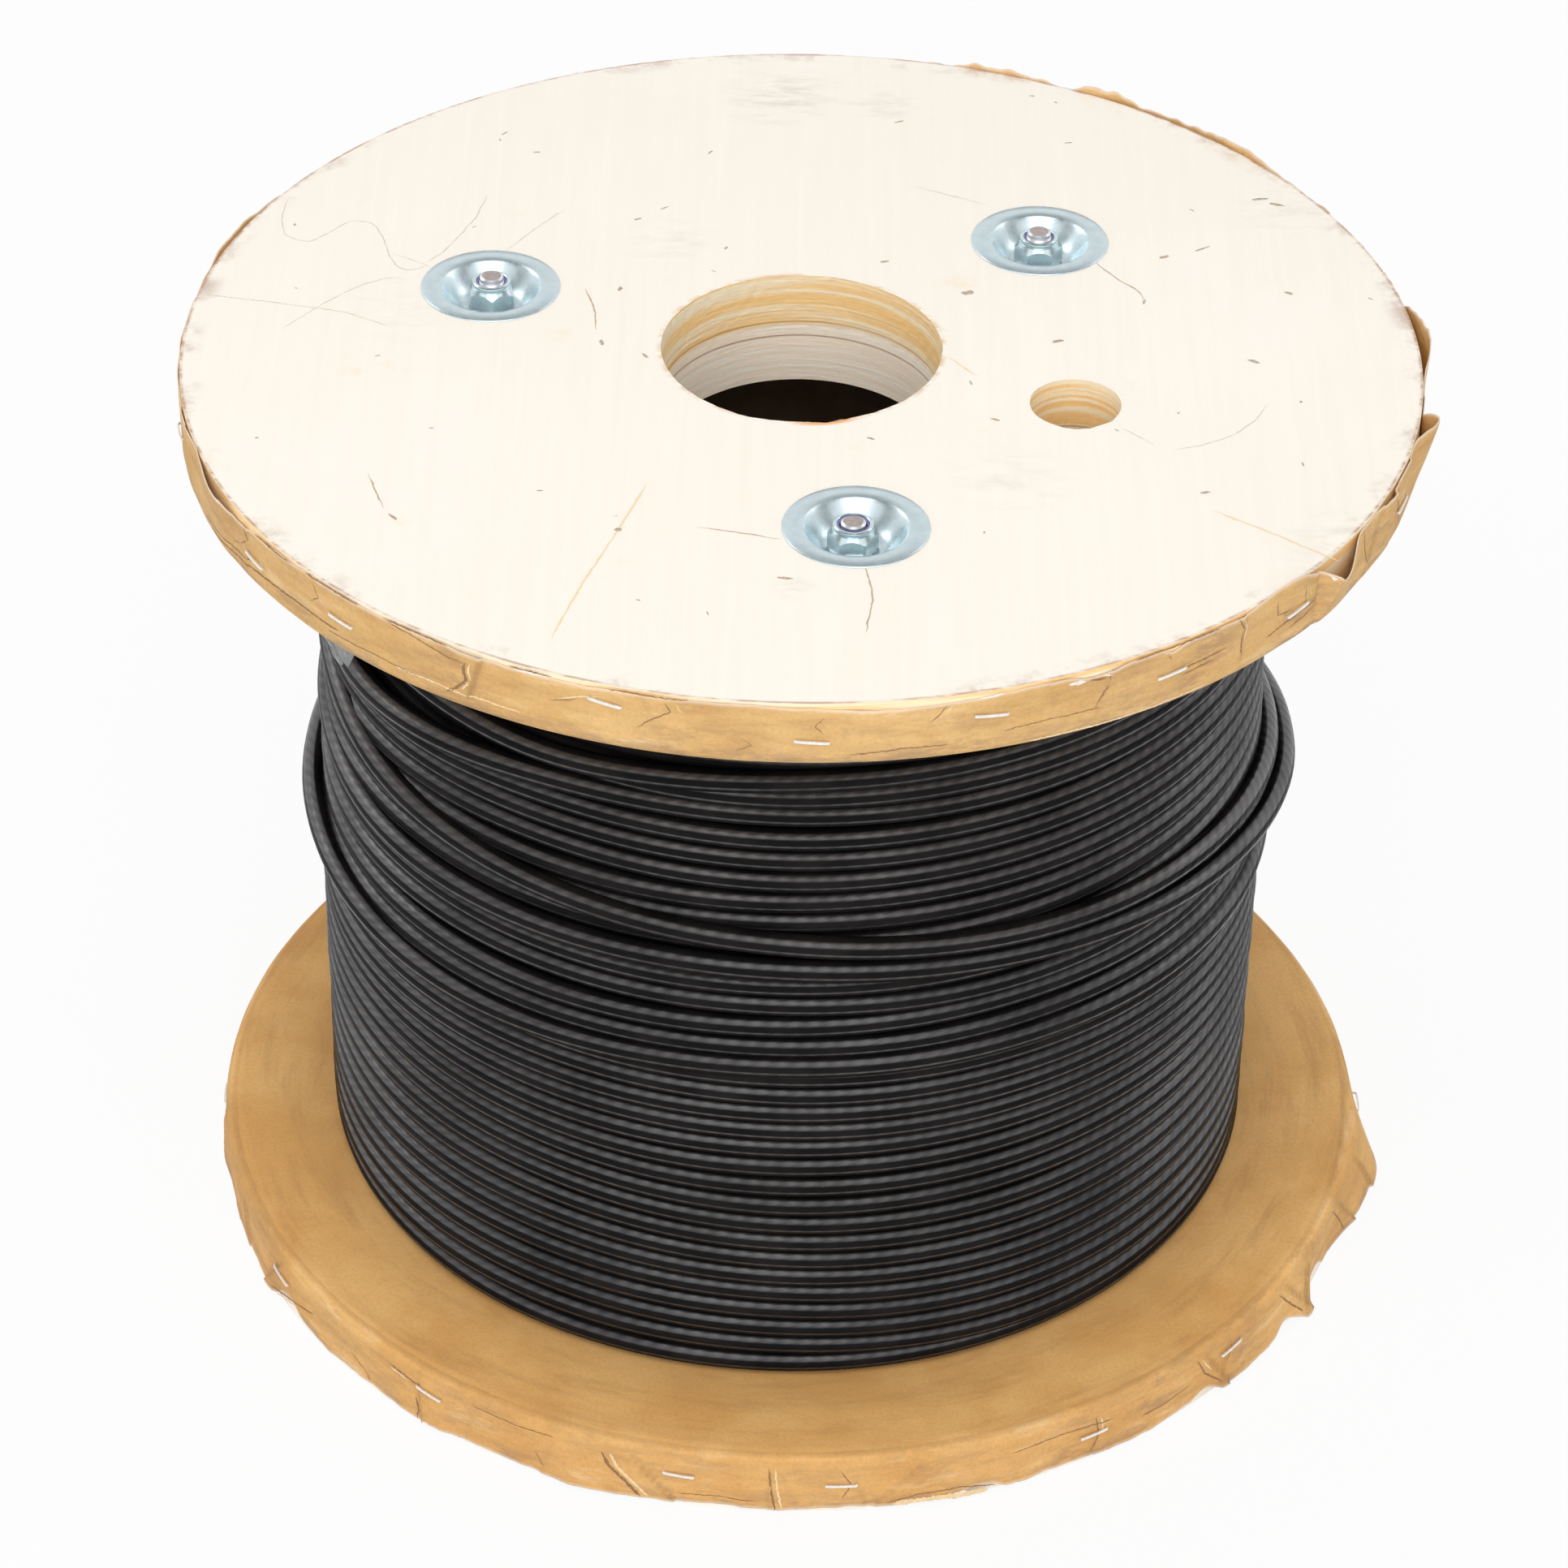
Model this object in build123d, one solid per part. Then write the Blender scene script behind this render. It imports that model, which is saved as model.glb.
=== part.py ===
from build123d import *
import os
from math import cos, pi, radians, sin

os.makedirs("parts", exist_ok=True)

# A plywood cable drum that stands on its end, wound with coated wire rope.
# Millimetres, +Z up along the spindle, origin at the middle of the underside.

# Flanges and the plywood discs inside the barrel
DRUM_HEIGHT = 300.0
FLANGE_RADIUS = 185.0
FLANGE_THICKNESS = 21.0
FLANGE_EDGE_BREAK = 2.5
CORE_DISC_THICKNESS = 16.0
SPINDLE_RADIUS = 42.0
DRIVE_HOLE_RADIUS = 13.5
DRIVE_CIRCLE_RADIUS = 86.0
DRIVE_HOLE_ANGLE = -20.0

# Barrel and winding
BARREL_RADIUS = 121.0
BARREL_WALL = 5.5
ROPE_DIAMETER = 7.0
ROPE_LAYERS = 4
LAYER_RISE = 5.93
TURNS_IN_A_LAYER = 36
GROOVE_DEPTH = 3.4
LOOSE_SECTION_RADIUS = 3.7
FULLER_TURNS = 18
FULLER_BY = 2.6
WINDING_END_GAP = 0.3

# Two loose turns that ride over the others and bulge at the sides: angle, and the height
# and radius of the middle of the rope. Their ends dive in among the neat turns.
LOOSE_TURNS = (
    (
        (-300, 240, 138.0), (-270, 236, 145.0), (-240, 228, 146.5), (-205, 220, 145.5),
        (-173, 213, 144.4), (-140, 199, 147.6), (-105, 192, 148.0), (-75, 185, 148.0),
        (-40, 179, 147.8), (-7, 170, 147.6), (40, 162, 148.4), (90, 158, 148.4),
        (140, 155, 149.4), (170, 152, 151.2), (193, 148, 151.8), (220, 141, 149.0),
        (250, 142, 147.0), (280, 143, 145.0), (310, 143, 138.0),
    ),
    (
        (-260, 192, 138.0), (-230, 190, 144.0), (-200, 187, 145.6), (-173, 184, 145.4),
        (-140, 180, 147.6), (-90, 180, 148.0), (-60, 174, 148.0), (-30, 166, 149.4),
        (-7, 162, 153.5), (20, 159, 152.6), (60, 152, 147.0), (90, 148, 138.5),
    ),
)

# Tie bolts with their nuts and dished washers
BOLT_CIRCLE_RADIUS = 99.5
BOLT_ANGLES = (41.0, 161.0, 281.0)
BOLT_RADIUS = 4.0
BOLT_HOLE_RADIUS = 4.5
BOLT_END_CHAMFER = 0.7
BOLT_TIP_HEIGHTS = (1.8, 2.2, 1.4)
HEX_ACROSS_FLATS = 13.0
HEX_HEAD_HEIGHT = 5.3
HEX_CHAMFER = 0.9
NUT_HEX_HEIGHT = 6.2
NUT_HEIGHT = 8.0
NUT_COLLAR_RADIUS = 5.9
COLLAR_CHAMFER = 0.4
INSERT_RADIUS = 5.0
INSERT_HEIGHT = 1.8
INSERT_SUNK = 0.4
WASHER_RADIUS = 20.5
WASHER_SHEET = 1.5
WASHER_HOLE_RADIUS = 4.5
DISH_RADIUS = 14.5
DISH_FLOOR_RADIUS = 8.6
DISH_DEPTH = 7.4
TOP_WASHER_PROUD = 0.5

# Kraft paper that lines each flange and is turned over its rim
PAPER = 0.6
PAPER_FIT = 0.15
PAPER_HOLE_RADIUS = BARREL_RADIUS + 0.5
TURNED_EDGE_SETBACK = 0.4

# Places where the turned paper stands off the rim: angle, radius of the loose bow, stand-off
TOP_FLARES = ((52.0, 120.0, 2.6), (4.0, 110.0, 2.4), (160.0, 120.0, 2.0), (-40.0, 100.0, 2.8))
BOTTOM_FLARES = ((-8.0, 90.0, 7.6), (-38.0, 100.0, 2.2), (-109.0, 90.0, 2.4), (-72.0, 110.0, 1.4))

# Torn lengths of paper that stand above the top face: from angle, to angle, height
RAISED_PAPER = ((34.0, 50.0, 2.6), (54.0, 74.0, 3.4), (-12.0, 12.0, 1.6))

TOP_UNDERSIDE = DRUM_HEIGHT - FLANGE_THICKNESS
WINDING_RADIUS = BARREL_RADIUS + ROPE_DIAMETER + (ROPE_LAYERS - 1) * LAYER_RISE


def ring(outer, inner, low, high):
    """A flat ring round the spindle from one height to another."""
    return extrude(Plane.XY.offset(low) * (Circle(outer) - Circle(inner)), high - low)


def at_angle(shape, radius, angle):
    """The shape moved out from the spindle at an angle."""
    return Pos(radius * cos(radians(angle)), radius * sin(radians(angle)), 0) * shape


def turned(points):
    """The solid that a closed outline of radius and height turns to."""
    return revolve(make_face(Polyline(*[(r, 0, z) for r, z in points], close=True)), Axis.Z)


def dish_underside(rim_top):
    """Outline of the washer's underside, from its edge down to its hole."""
    rim_under = rim_top - WASHER_SHEET
    floor_under = rim_top - DISH_DEPTH - WASHER_SHEET
    return [
        (WASHER_RADIUS, rim_under),
        (DISH_RADIUS + 0.5, rim_under),
        (DISH_FLOOR_RADIUS + 1.0, floor_under),
    ]


def washer(rim_top):
    """A round washer pressed to a dish, seen with its flat rim up."""
    floor_top = rim_top - DISH_DEPTH
    outline = dish_underside(rim_top)
    outline.append((WASHER_HOLE_RADIUS, floor_top - WASHER_SHEET))
    outline.append((WASHER_HOLE_RADIUS, floor_top))
    outline.append((DISH_FLOOR_RADIUS, floor_top))
    outline.append((DISH_RADIUS, rim_top))
    outline.append((WASHER_RADIUS, rim_top))
    return turned(outline)


def washer_seat(rim_top, face):
    """What the washer has pressed out of the plywood."""
    outline = dish_underside(rim_top)
    outline.append((0, outline[-1][1]))
    outline.append((0, face))
    outline.append((WASHER_RADIUS, face))
    return turned(outline)


def edged_disc(radius, low, high, edge):
    """A round block with the corner of its lower edge taken off."""
    disc = extrude(Plane.XY.offset(low) * Circle(radius), high - low)
    return chamfer(disc.edges().group_by(Axis.Z)[0], edge)


def flange():
    """The top flange, with its face at zero and its inner face below."""
    disc = edged_disc(FLANGE_RADIUS, -FLANGE_THICKNESS, 0, FLANGE_EDGE_BREAK)
    return disc - Cylinder(SPINDLE_RADIUS, 3 * FLANGE_THICKNESS)


def plywood_holes(drive_angle, bolt_angles):
    """The drive hole and the bolt holes, long enough for any disc."""
    depth = 2 * DRUM_HEIGHT
    holes = [at_angle(Cylinder(DRIVE_HOLE_RADIUS, depth), DRIVE_CIRCLE_RADIUS, drive_angle)]
    for angle in bolt_angles:
        holes.append(at_angle(Cylinder(BOLT_HOLE_RADIUS, depth), BOLT_CIRCLE_RADIUS, angle))
    return holes


def paper_outline(grow, flares):
    """The outline of the turned paper: round, with a bow of smaller radius at each flare."""
    outline = Circle(FLANGE_RADIUS + PAPER_FIT + grow).face()
    for angle, bow_radius, stand_off in flares:
        shift = FLANGE_RADIUS + stand_off - bow_radius
        outline += at_angle(Circle(bow_radius + grow), shift, angle)
    return outline


def paper_cup(grow, low, high, edge, flares):
    """A block with the paper's outline, grown by a thickness, and its lower edge broken."""
    cup = edged_disc(FLANGE_RADIUS + PAPER_FIT + grow, low, high, edge)
    for angle, bow_radius, stand_off in flares:
        bow = edged_disc(bow_radius + grow, low, high, edge)
        cup += at_angle(bow, FLANGE_RADIUS + stand_off - bow_radius, angle)
    return cup


def liner(height, flares):
    """Paper under a flange and up its rim; the flange's inner face is at zero."""
    outside = paper_cup(PAPER, -PAPER, height, FLANGE_EDGE_BREAK, flares)
    inside = paper_cup(0, 0, height + 1, FLANGE_EDGE_BREAK - PAPER_FIT, flares)
    return outside - inside - Cylinder(PAPER_HOLE_RADIUS, 4 * FLANGE_THICKNESS)


def raised_strip(start, end, height):
    """A torn length of the paper's edge above the top face."""
    band = paper_outline(PAPER, TOP_FLARES) - paper_outline(0, TOP_FLARES)
    reach = 2 * FLANGE_RADIUS
    middle = radians((start + end) / 2)
    corners = [
        (0, 0),
        (reach * cos(radians(start)), reach * sin(radians(start))),
        (reach * cos(middle), reach * sin(middle)),
        (reach * cos(radians(end)), reach * sin(radians(end))),
    ]
    wedge = make_face(Polyline(*corners, close=True))
    foot = FLANGE_THICKNESS - 4
    return extrude(Plane.XY.offset(foot) * (band & wedge), FLANGE_THICKNESS + height - foot)


def hexagon(height, chamfered_end):
    """A hexagon standing on zero with the corners of one end turned off."""
    corner_radius = HEX_ACROSS_FLATS / 2 / cos(pi / 6)
    blank = Pos(0, 0, height / 2) * Cylinder(corner_radius, height)
    edge = blank.edges().filter_by(GeomType.CIRCLE).sort_by(Axis.Z)[chamfered_end]
    blank = chamfer(edge, HEX_CHAMFER, HEX_CHAMFER * 2)
    return blank & extrude(RegularPolygon(corner_radius, 6), height)


def lock_nut():
    """A nut whose round collar holds a plastic ring, standing on zero."""
    nut = hexagon(NUT_HEX_HEIGHT, -1)
    collar = Pos(0, 0, NUT_HEIGHT / 2) * Cylinder(NUT_COLLAR_RADIUS, NUT_HEIGHT)
    collar = chamfer(collar.edges().group_by(Axis.Z)[-1], COLLAR_CHAMFER)
    nut = nut + collar - Cylinder(BOLT_RADIUS, 3 * NUT_HEIGHT)
    pocket_height = INSERT_HEIGHT + INSERT_SUNK
    pocket = Pos(0, 0, NUT_HEIGHT - pocket_height / 2) * Cylinder(INSERT_RADIUS, pocket_height)
    return nut - pocket


def loose_turn(knots):
    """A length of rope, six-sided here, along a smooth line through its knots."""
    points = []
    for angle, height, radius in knots:
        points.append((radius * cos(radians(angle)), radius * sin(radians(angle)), height))
    path = Spline(*points)
    section = Plane(origin=points[0], z_dir=path % 0) * RegularPolygon(LOOSE_SECTION_RADIUS, 6)
    return sweep(section, path=path)


def winding():
    """All turns of rope as one turned solid: a ridge for each turn, the barrel as its bore."""
    low = FLANGE_THICKNESS + PAPER + WINDING_END_GAP
    high = TOP_UNDERSIDE - PAPER - WINDING_END_GAP
    pitch = (high - low) / TURNS_IN_A_LAYER
    outline = [(BARREL_RADIUS, low)]
    for turn in range(TURNS_IN_A_LAYER):
        crest = WINDING_RADIUS + (FULLER_BY if turn < FULLER_TURNS else 0)
        outline.append((crest - GROOVE_DEPTH, low + turn * pitch))
        outline.append((crest, low + (turn + 0.5) * pitch))
    outline.append((WINDING_RADIUS - GROOVE_DEPTH, high))
    outline.append((BARREL_RADIUS, high))
    return turned(outline) + [loose_turn(knots) for knots in LOOSE_TURNS]


parts = {}

# Plywood discs
seats_top = [at_angle(washer_seat(TOP_WASHER_PROUD, 0), BOLT_CIRCLE_RADIUS, a) for a in BOLT_ANGLES]
seats_flush = [at_angle(washer_seat(0, 0), BOLT_CIRCLE_RADIUS, a) for a in BOLT_ANGLES]
holes = plywood_holes(DRIVE_HOLE_ANGLE, BOLT_ANGLES)
parts["top_flange"] = Pos(0, 0, DRUM_HEIGHT) * (flange() - seats_top - holes)
parts["bottom_flange"] = mirror(flange() - seats_flush - holes, Plane.XY)
core_disc = ring(BARREL_RADIUS - BARREL_WALL, SPINDLE_RADIUS, 0, CORE_DISC_THICKNESS) - holes
parts["top_core_disc"] = Pos(0, 0, TOP_UNDERSIDE - CORE_DISC_THICKNESS) * core_disc
parts["bottom_core_disc"] = Pos(0, 0, FLANGE_THICKNESS) * core_disc

# Barrel and rope
parts["barrel"] = ring(BARREL_RADIUS, BARREL_RADIUS - BARREL_WALL, FLANGE_THICKNESS, TOP_UNDERSIDE)
parts["rope_winding"] = winding()

# Paper linings
top_liner = liner(FLANGE_THICKNESS - TURNED_EDGE_SETBACK, TOP_FLARES)
top_liner += [raised_strip(*strip) for strip in RAISED_PAPER]
parts["top_paper_liner"] = Pos(0, 0, TOP_UNDERSIDE) * top_liner
bottom_liner = liner(FLANGE_THICKNESS - TURNED_EDGE_SETBACK, BOTTOM_FLARES)
parts["bottom_paper_liner"] = Pos(0, 0, FLANGE_THICKNESS) * mirror(bottom_liner, Plane.XY)

# Nuts, rings and washers, like pieces of each kind together
nut_seat = DRUM_HEIGHT + TOP_WASHER_PROUD - DISH_DEPTH
ring_low = nut_seat + NUT_HEIGHT - INSERT_HEIGHT - INSERT_SUNK
like_pieces = {
    "lock_nuts": Pos(0, 0, nut_seat) * lock_nut(),
    "lock_nut_rings": ring(INSERT_RADIUS, BOLT_RADIUS, ring_low, ring_low + INSERT_HEIGHT),
    "top_dished_washers": Pos(0, 0, DRUM_HEIGHT) * washer(TOP_WASHER_PROUD),
    "bottom_dished_washers": mirror(washer(0), Plane.XY),
}
for name, piece in like_pieces.items():
    placed = [at_angle(piece, BOLT_CIRCLE_RADIUS, angle) for angle in BOLT_ANGLES]
    parts[name] = Compound(children=placed)

# Tie bolts, headed at the bottom
for number, (angle, tip) in enumerate(zip(BOLT_ANGLES, BOLT_TIP_HEIGHTS), start=1):
    tip_height = DRUM_HEIGHT + tip
    shank = Pos(0, 0, (DISH_DEPTH + tip_height) / 2) * Cylinder(BOLT_RADIUS, tip_height - DISH_DEPTH)
    shank = chamfer(shank.edges().group_by(Axis.Z)[-1], BOLT_END_CHAMFER)
    bolt = shank + Pos(0, 0, DISH_DEPTH - HEX_HEAD_HEIGHT) * hexagon(HEX_HEAD_HEIGHT, 0)
    parts[f"tie_bolt_{number}"] = at_angle(bolt, BOLT_CIRCLE_RADIUS, angle)

for name, shape in parts.items():
    export_step(shape, f"parts/{name}.step")
    print(name, round(shape.volume), "mm3")
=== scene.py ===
import math

import bpy
import numpy as np
from mathutils import Matrix, Vector
from mathutils.geometry import delaunay_2d_cdt


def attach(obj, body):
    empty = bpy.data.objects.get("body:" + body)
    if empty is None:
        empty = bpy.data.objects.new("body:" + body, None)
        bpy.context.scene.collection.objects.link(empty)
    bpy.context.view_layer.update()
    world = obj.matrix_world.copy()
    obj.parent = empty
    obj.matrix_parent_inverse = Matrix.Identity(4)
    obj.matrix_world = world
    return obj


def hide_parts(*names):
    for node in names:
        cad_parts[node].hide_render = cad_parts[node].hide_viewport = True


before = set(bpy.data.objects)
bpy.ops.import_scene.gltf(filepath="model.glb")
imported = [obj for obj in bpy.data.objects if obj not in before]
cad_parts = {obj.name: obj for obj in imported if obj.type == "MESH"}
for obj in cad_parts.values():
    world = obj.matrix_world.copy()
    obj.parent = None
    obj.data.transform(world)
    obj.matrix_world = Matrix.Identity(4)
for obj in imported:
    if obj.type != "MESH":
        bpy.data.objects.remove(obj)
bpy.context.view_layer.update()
scene = bpy.context.scene

# A plywood cable drum wound with coated wire rope. Sizes are in millimetres
# until a mesh is made. Bearings are in degrees from the front, growing to the
# right; the front is the -Y side.
MM = 0.001
FACE = 300.0
UNDER_FACE = 279.0
LOWER_INNER_FACE = 21.0
RIM_RADIUS = 185.0
BORE_RADIUS = 42.0
BARREL_RADIUS = 121.0
BOLT_CIRCLE = 99.5
BOLT_BEARINGS = (131.0, 251.0, 11.0)
DRIVE_HOLE = (86.0, 70.0, 13.5)
ROPE_RADIUS = 3.5
STRANDS = 6.0
LAY_LENGTH = 0.033  # metres in which a strand goes once round the rope


# ---- Small tools for meshes ----

def polar(radius, bearing, height):
    """Points from radius, bearing and height, as an array of x, y, z."""
    turn = np.radians(bearing)
    radius, turn, height = np.broadcast_arrays(radius, turn, height)
    return np.stack([radius * np.sin(turn), -radius * np.cos(turn), height], -1)


def ripple(bearing, across, seed, turns, waves, count=18):
    """Smooth unevenness round the drum, from -1 to 1 for the most part."""
    dice = np.random.default_rng(seed)
    total = np.zeros(np.broadcast(bearing, across).shape)
    for _ in range(count):
        around = dice.integers(turns[0], turns[1] + 1)
        sideways = dice.uniform(-waves, waves)
        phase = dice.uniform(0, 2 * math.pi)
        total = total + np.sin(np.radians(bearing) * around + across * sideways + phase)
    return total / math.sqrt(count / 2) / 1.6


def bump_at(bearing, centre, before, after=None):
    """A smooth hump of height 1 round one bearing; its two sides may differ in width."""
    away = (np.asarray(bearing) - centre + 180) % 360 - 180
    away = np.abs(away) / np.where(away < 0, before, after or before)
    return np.where(away < 1, (0.5 + 0.5 * np.cos(np.pi * np.minimum(away, 1))), 0.0)


def make_piece(name, points, faces, finish, smooth=True, uv=None, marks=None):
    """A mesh object of the drum from points in millimetres."""
    mesh = bpy.data.meshes.new(name)
    mesh.from_pydata((np.asarray(points, float).reshape(-1, 3) * MM).tolist(), [], faces)
    for mark, values in (marks or {}).items():
        layer = mesh.attributes.new(mark, "FLOAT", "POINT")
        layer.data.foreach_set("value", np.asarray(values, np.float32).ravel())
    if uv is not None:
        layer = mesh.uv_layers.new(name="UVMap")
        layer.data.foreach_set("uv", np.asarray(uv, np.float32).ravel())
    mesh.materials.append(finish)
    mesh.polygons.foreach_set("use_smooth", [smooth] * len(mesh.polygons))
    mesh.update()
    piece = bpy.data.objects.new(name, mesh)
    scene.collection.objects.link(piece)
    return piece


def settle(piece):
    """Applies the modifiers of a piece, so that it is a plain mesh."""
    graph = bpy.context.evaluated_depsgraph_get()
    graph.update()
    mesh = bpy.data.meshes.new_from_object(piece.evaluated_get(graph))
    piece.modifiers.clear()
    piece.data = mesh
    return piece


def grid_faces(rows, columns, closed_columns=True, closed_rows=False):
    """Quads between neighbouring rows of points, columns running fastest."""
    faces = []
    for r in range(rows if closed_rows else rows - 1):
        below, above = r * columns, ((r + 1) % rows) * columns
        for c in range(columns if closed_columns else columns - 1):
            d = (c + 1) % columns
            faces.append((below + c, below + d, above + d, above + c))
    return faces


def lathe(name, outline, finish, segments=96, centres=((0, 0),)):
    """Turned rings from a closed outline of radius and height, one at each centre."""
    outline = np.asarray(outline, float)
    bearings = np.arange(segments) * 360 / segments
    points, faces = [], []
    for x, y in centres:
        start = sum(len(p) for p in points)
        rings = polar(outline[:, :1], bearings[None, :], outline[:, 1:2]) + (x, y, 0)
        points.append(rings.reshape(-1, 3))
        quads = grid_faces(len(outline), segments, closed_rows=True)
        faces += [tuple(start + i for i in quad) for quad in quads]
    return make_piece(name, np.concatenate(points), faces, finish)


# ---- Small tool for materials ----

class Finish:
    """A procedural material; its methods add nodes and hand back their outputs."""

    def __init__(self, name, **shine):
        self.material = bpy.data.materials.new(name)
        self.material.use_nodes = True
        self.nodes = self.material.node_tree.nodes
        self.links = self.material.node_tree.links
        self.shader = self.nodes["Principled BSDF"]
        for socket, value in shine.items():
            self.shader.inputs[socket.replace("_", " ")].default_value = value

    def add(self, kind, inputs=None, **settings):
        node = self.nodes.new("ShaderNode" + kind)
        for key, value in settings.items():
            setattr(node, key, value)
        for key, value in (inputs or {}).items():
            self.feed(node.inputs[key], value)
        return node

    def feed(self, socket, value):
        if isinstance(value, bpy.types.NodeSocket):
            self.links.new(value, socket)
        else:
            socket.default_value = value

    def place(self, output="Object"):
        return self.add("TexCoord").outputs[output]

    def stretched(self, scale, turn=(0, 0, 0), output="Object"):
        inputs = {"Vector": self.place(output), "Scale": scale, "Rotation": turn}
        return self.add("Mapping", inputs).outputs["Vector"]

    def noise(self, vector, scale, detail=4.0, roughness=0.55, distortion=0.0):
        inputs = {"Vector": vector, "Scale": scale, "Detail": detail,
                  "Roughness": roughness, "Distortion": distortion}
        return self.add("TexNoise", inputs).outputs["Fac"]

    def calc(self, operation, a, b=0.0, clamp=False):
        node = self.add("Math", {0: a, 1: b}, operation=operation)
        node.use_clamp = clamp
        return node.outputs[0]

    def span(self, value, low, high, start=0.0, end=1.0):
        """A value's stretch from low to high, spread smoothly over start to end."""
        inputs = {"Value": value, "From Min": low, "From Max": high,
                  "To Min": start, "To Max": end}
        return self.add("MapRange", inputs, interpolation_type="SMOOTHSTEP").outputs[0]

    def mark(self, name):
        return self.add("Attribute", attribute_name=name).outputs["Fac"]

    def parts_of(self, vector):
        return self.add("SeparateXYZ", {0: vector}).outputs

    def mix(self, share, a, b, blend="MIX"):
        node = self.add("Mix", data_type="RGBA", blend_type=blend)
        self.feed(node.inputs["Factor"], share)
        for socket, value in ((node.inputs[6], a), (node.inputs[7], b)):
            self.feed(socket, value if isinstance(value, bpy.types.NodeSocket) else (*value, 1.0))
        return node.outputs[2]

    def near(self, x, y, radius):
        """1 at a spot of the face, falling to 0 at a radius, in millimetres."""
        flat = self.add("VectorMath", {0: self.place(), 1: (1, 1, 0)}, operation="MULTIPLY")
        spot = (x * MM, y * MM, 0)
        away = self.add("VectorMath", {0: flat.outputs[0], 1: spot}, operation="DISTANCE")
        return self.span(away.outputs["Value"], 0.0, radius * MM, 1.0, 0.0)

    def done(self, color=None, roughness=None, bumps=()):
        if color is not None:
            self.feed(self.shader.inputs["Base Color"], color)
        if roughness is not None:
            self.feed(self.shader.inputs["Roughness"], roughness)
        normal = None
        for height, distance in bumps:
            inputs = {"Height": height, "Distance": distance * MM, "Strength": 1.0}
            if normal is not None:
                inputs["Normal"] = normal
            normal = self.add("Bump", inputs).outputs["Normal"]
        if normal is not None:
            self.feed(self.shader.inputs["Normal"], normal)
        return self.material


# ---- Materials ----

def plywood():
    """Pale planed veneer on the faces, layers on the edges and in the holes."""
    f = Finish("planed_plywood", Roughness=0.62)
    position = f.place()
    height = f.parts_of(position)["Z"]
    upright = f.calc("ABSOLUTE", f.parts_of(f.place("Normal"))["Z"])
    edge = f.calc("MAXIMUM", f.span(upright, 0.85, 0.6), f.mark("raw"))

    grain = f.noise(f.stretched((260, 9, 40), (0, 0, 0.27)), 1.0, 5.0, 0.6, 0.4)
    cloud = f.noise(position, 9.0, 3.0)
    veneer = f.mix(f.span(grain, 0.3, 0.75), (0.960, 0.900, 0.805), (0.944, 0.875, 0.772))
    veneer = f.mix(f.span(cloud, 0.4, 0.8, 0.0, 0.5), veneer, (0.975, 0.930, 0.855))
    stain = f.noise(position, 34.0, 6.0, 0.7)
    veneer = f.mix(f.span(stain, 0.62, 0.78, 0.0, 0.35), veneer, (0.90, 0.72, 0.45))
    smudge = f.noise(f.stretched((60, 190, 60), (0, 0, 0.7)), 1.0, 6.0, 0.7)
    for x, y, radius, share in ((-8, 156, 26, 0.5), (26, 152, 16, 0.35), (-42, 62, 20, 0.2),
                                (150, 88, 22, 0.25), (158, -105, 26, 0.45), (-2, -128, 10, 0.3),
                                (60, -70, 26, 0.2), (-120, 20, 30, 0.12)):
        patch = f.calc("MULTIPLY", f.near(x, y, radius), f.span(smudge, 0.42, 0.72, 0.0, share))
        veneer = f.mix(patch, veneer, (0.42, 0.36, 0.31))
    flat = f.add("VectorMath", {0: position, 1: (1, 1, 0)}, operation="MULTIPLY").outputs[0]
    out = f.add("VectorMath", {0: flat}, operation="LENGTH").outputs["Value"]
    lip = f.calc("MULTIPLY", f.span(out, 0.0448, 0.0426), f.span(stain, 0.42, 0.52, 0.25, 1.0))
    chip = f.calc("MULTIPLY", lip, f.calc("MULTIPLY", f.near(8, -43, 13), 1.8))
    veneer = f.mix(f.calc("MINIMUM", chip, 1.0), veneer, (0.92, 0.42, 0.15))
    frayed = f.calc("MULTIPLY", f.span(out, 0.0440, 0.0422), f.span(smudge, 0.45, 0.60, 0.0, 0.7))
    veneer = f.mix(frayed, veneer, (0.74, 0.50, 0.27))
    handled = f.noise(position, 42.0, 6.0, 0.7)
    rim_dirt = f.calc("MULTIPLY", f.span(out, 0.1765, 0.1845),
                      f.span(handled, 0.48, 0.68, 0.0, 0.7))
    veneer = f.mix(rim_dirt, veneer, (0.52, 0.36, 0.28))
    rim_line = f.calc("MULTIPLY", f.span(out, 0.1836, 0.1847), f.span(smudge, 0.40, 0.60, 0.15, 0.9))
    veneer = f.mix(rim_line, veneer, (0.46, 0.25, 0.15))

    layers = f.noise(f.stretched((9, 9, 560)), 1.0, 3.0, 0.55)
    torn = f.noise(f.stretched((60, 60, 900)), 1.0, 6.0, 0.72)
    pale = f.mix(f.span(layers, 0.4, 0.6), (0.99, 0.94, 0.84), (0.98, 0.87, 0.73))
    warm = f.mix(f.span(layers, 0.4, 0.6), (0.99, 0.87, 0.64), (0.98, 0.65, 0.28))
    wood = f.mix(f.span(height, 0.2820, 0.2840), pale, warm)
    wood = f.mix(f.span(torn, 0.58, 0.78, 0.0, 0.42), wood, (0.72, 0.46, 0.22))
    for joint, share in ((0.2838, 0.55), (0.2789, 0.8)):
        away = f.calc("ABSOLUTE", f.calc("SUBTRACT", height, joint))
        wood = f.mix(f.span(away, 0.0, 0.0005, share, 0.0), wood, (0.30, 0.15, 0.06))
    color = f.mix(edge, veneer, wood)
    bumps = ((grain, 0.03), (f.calc("MULTIPLY", torn, edge), 0.35))
    return f.done(color, None, bumps)


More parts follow.
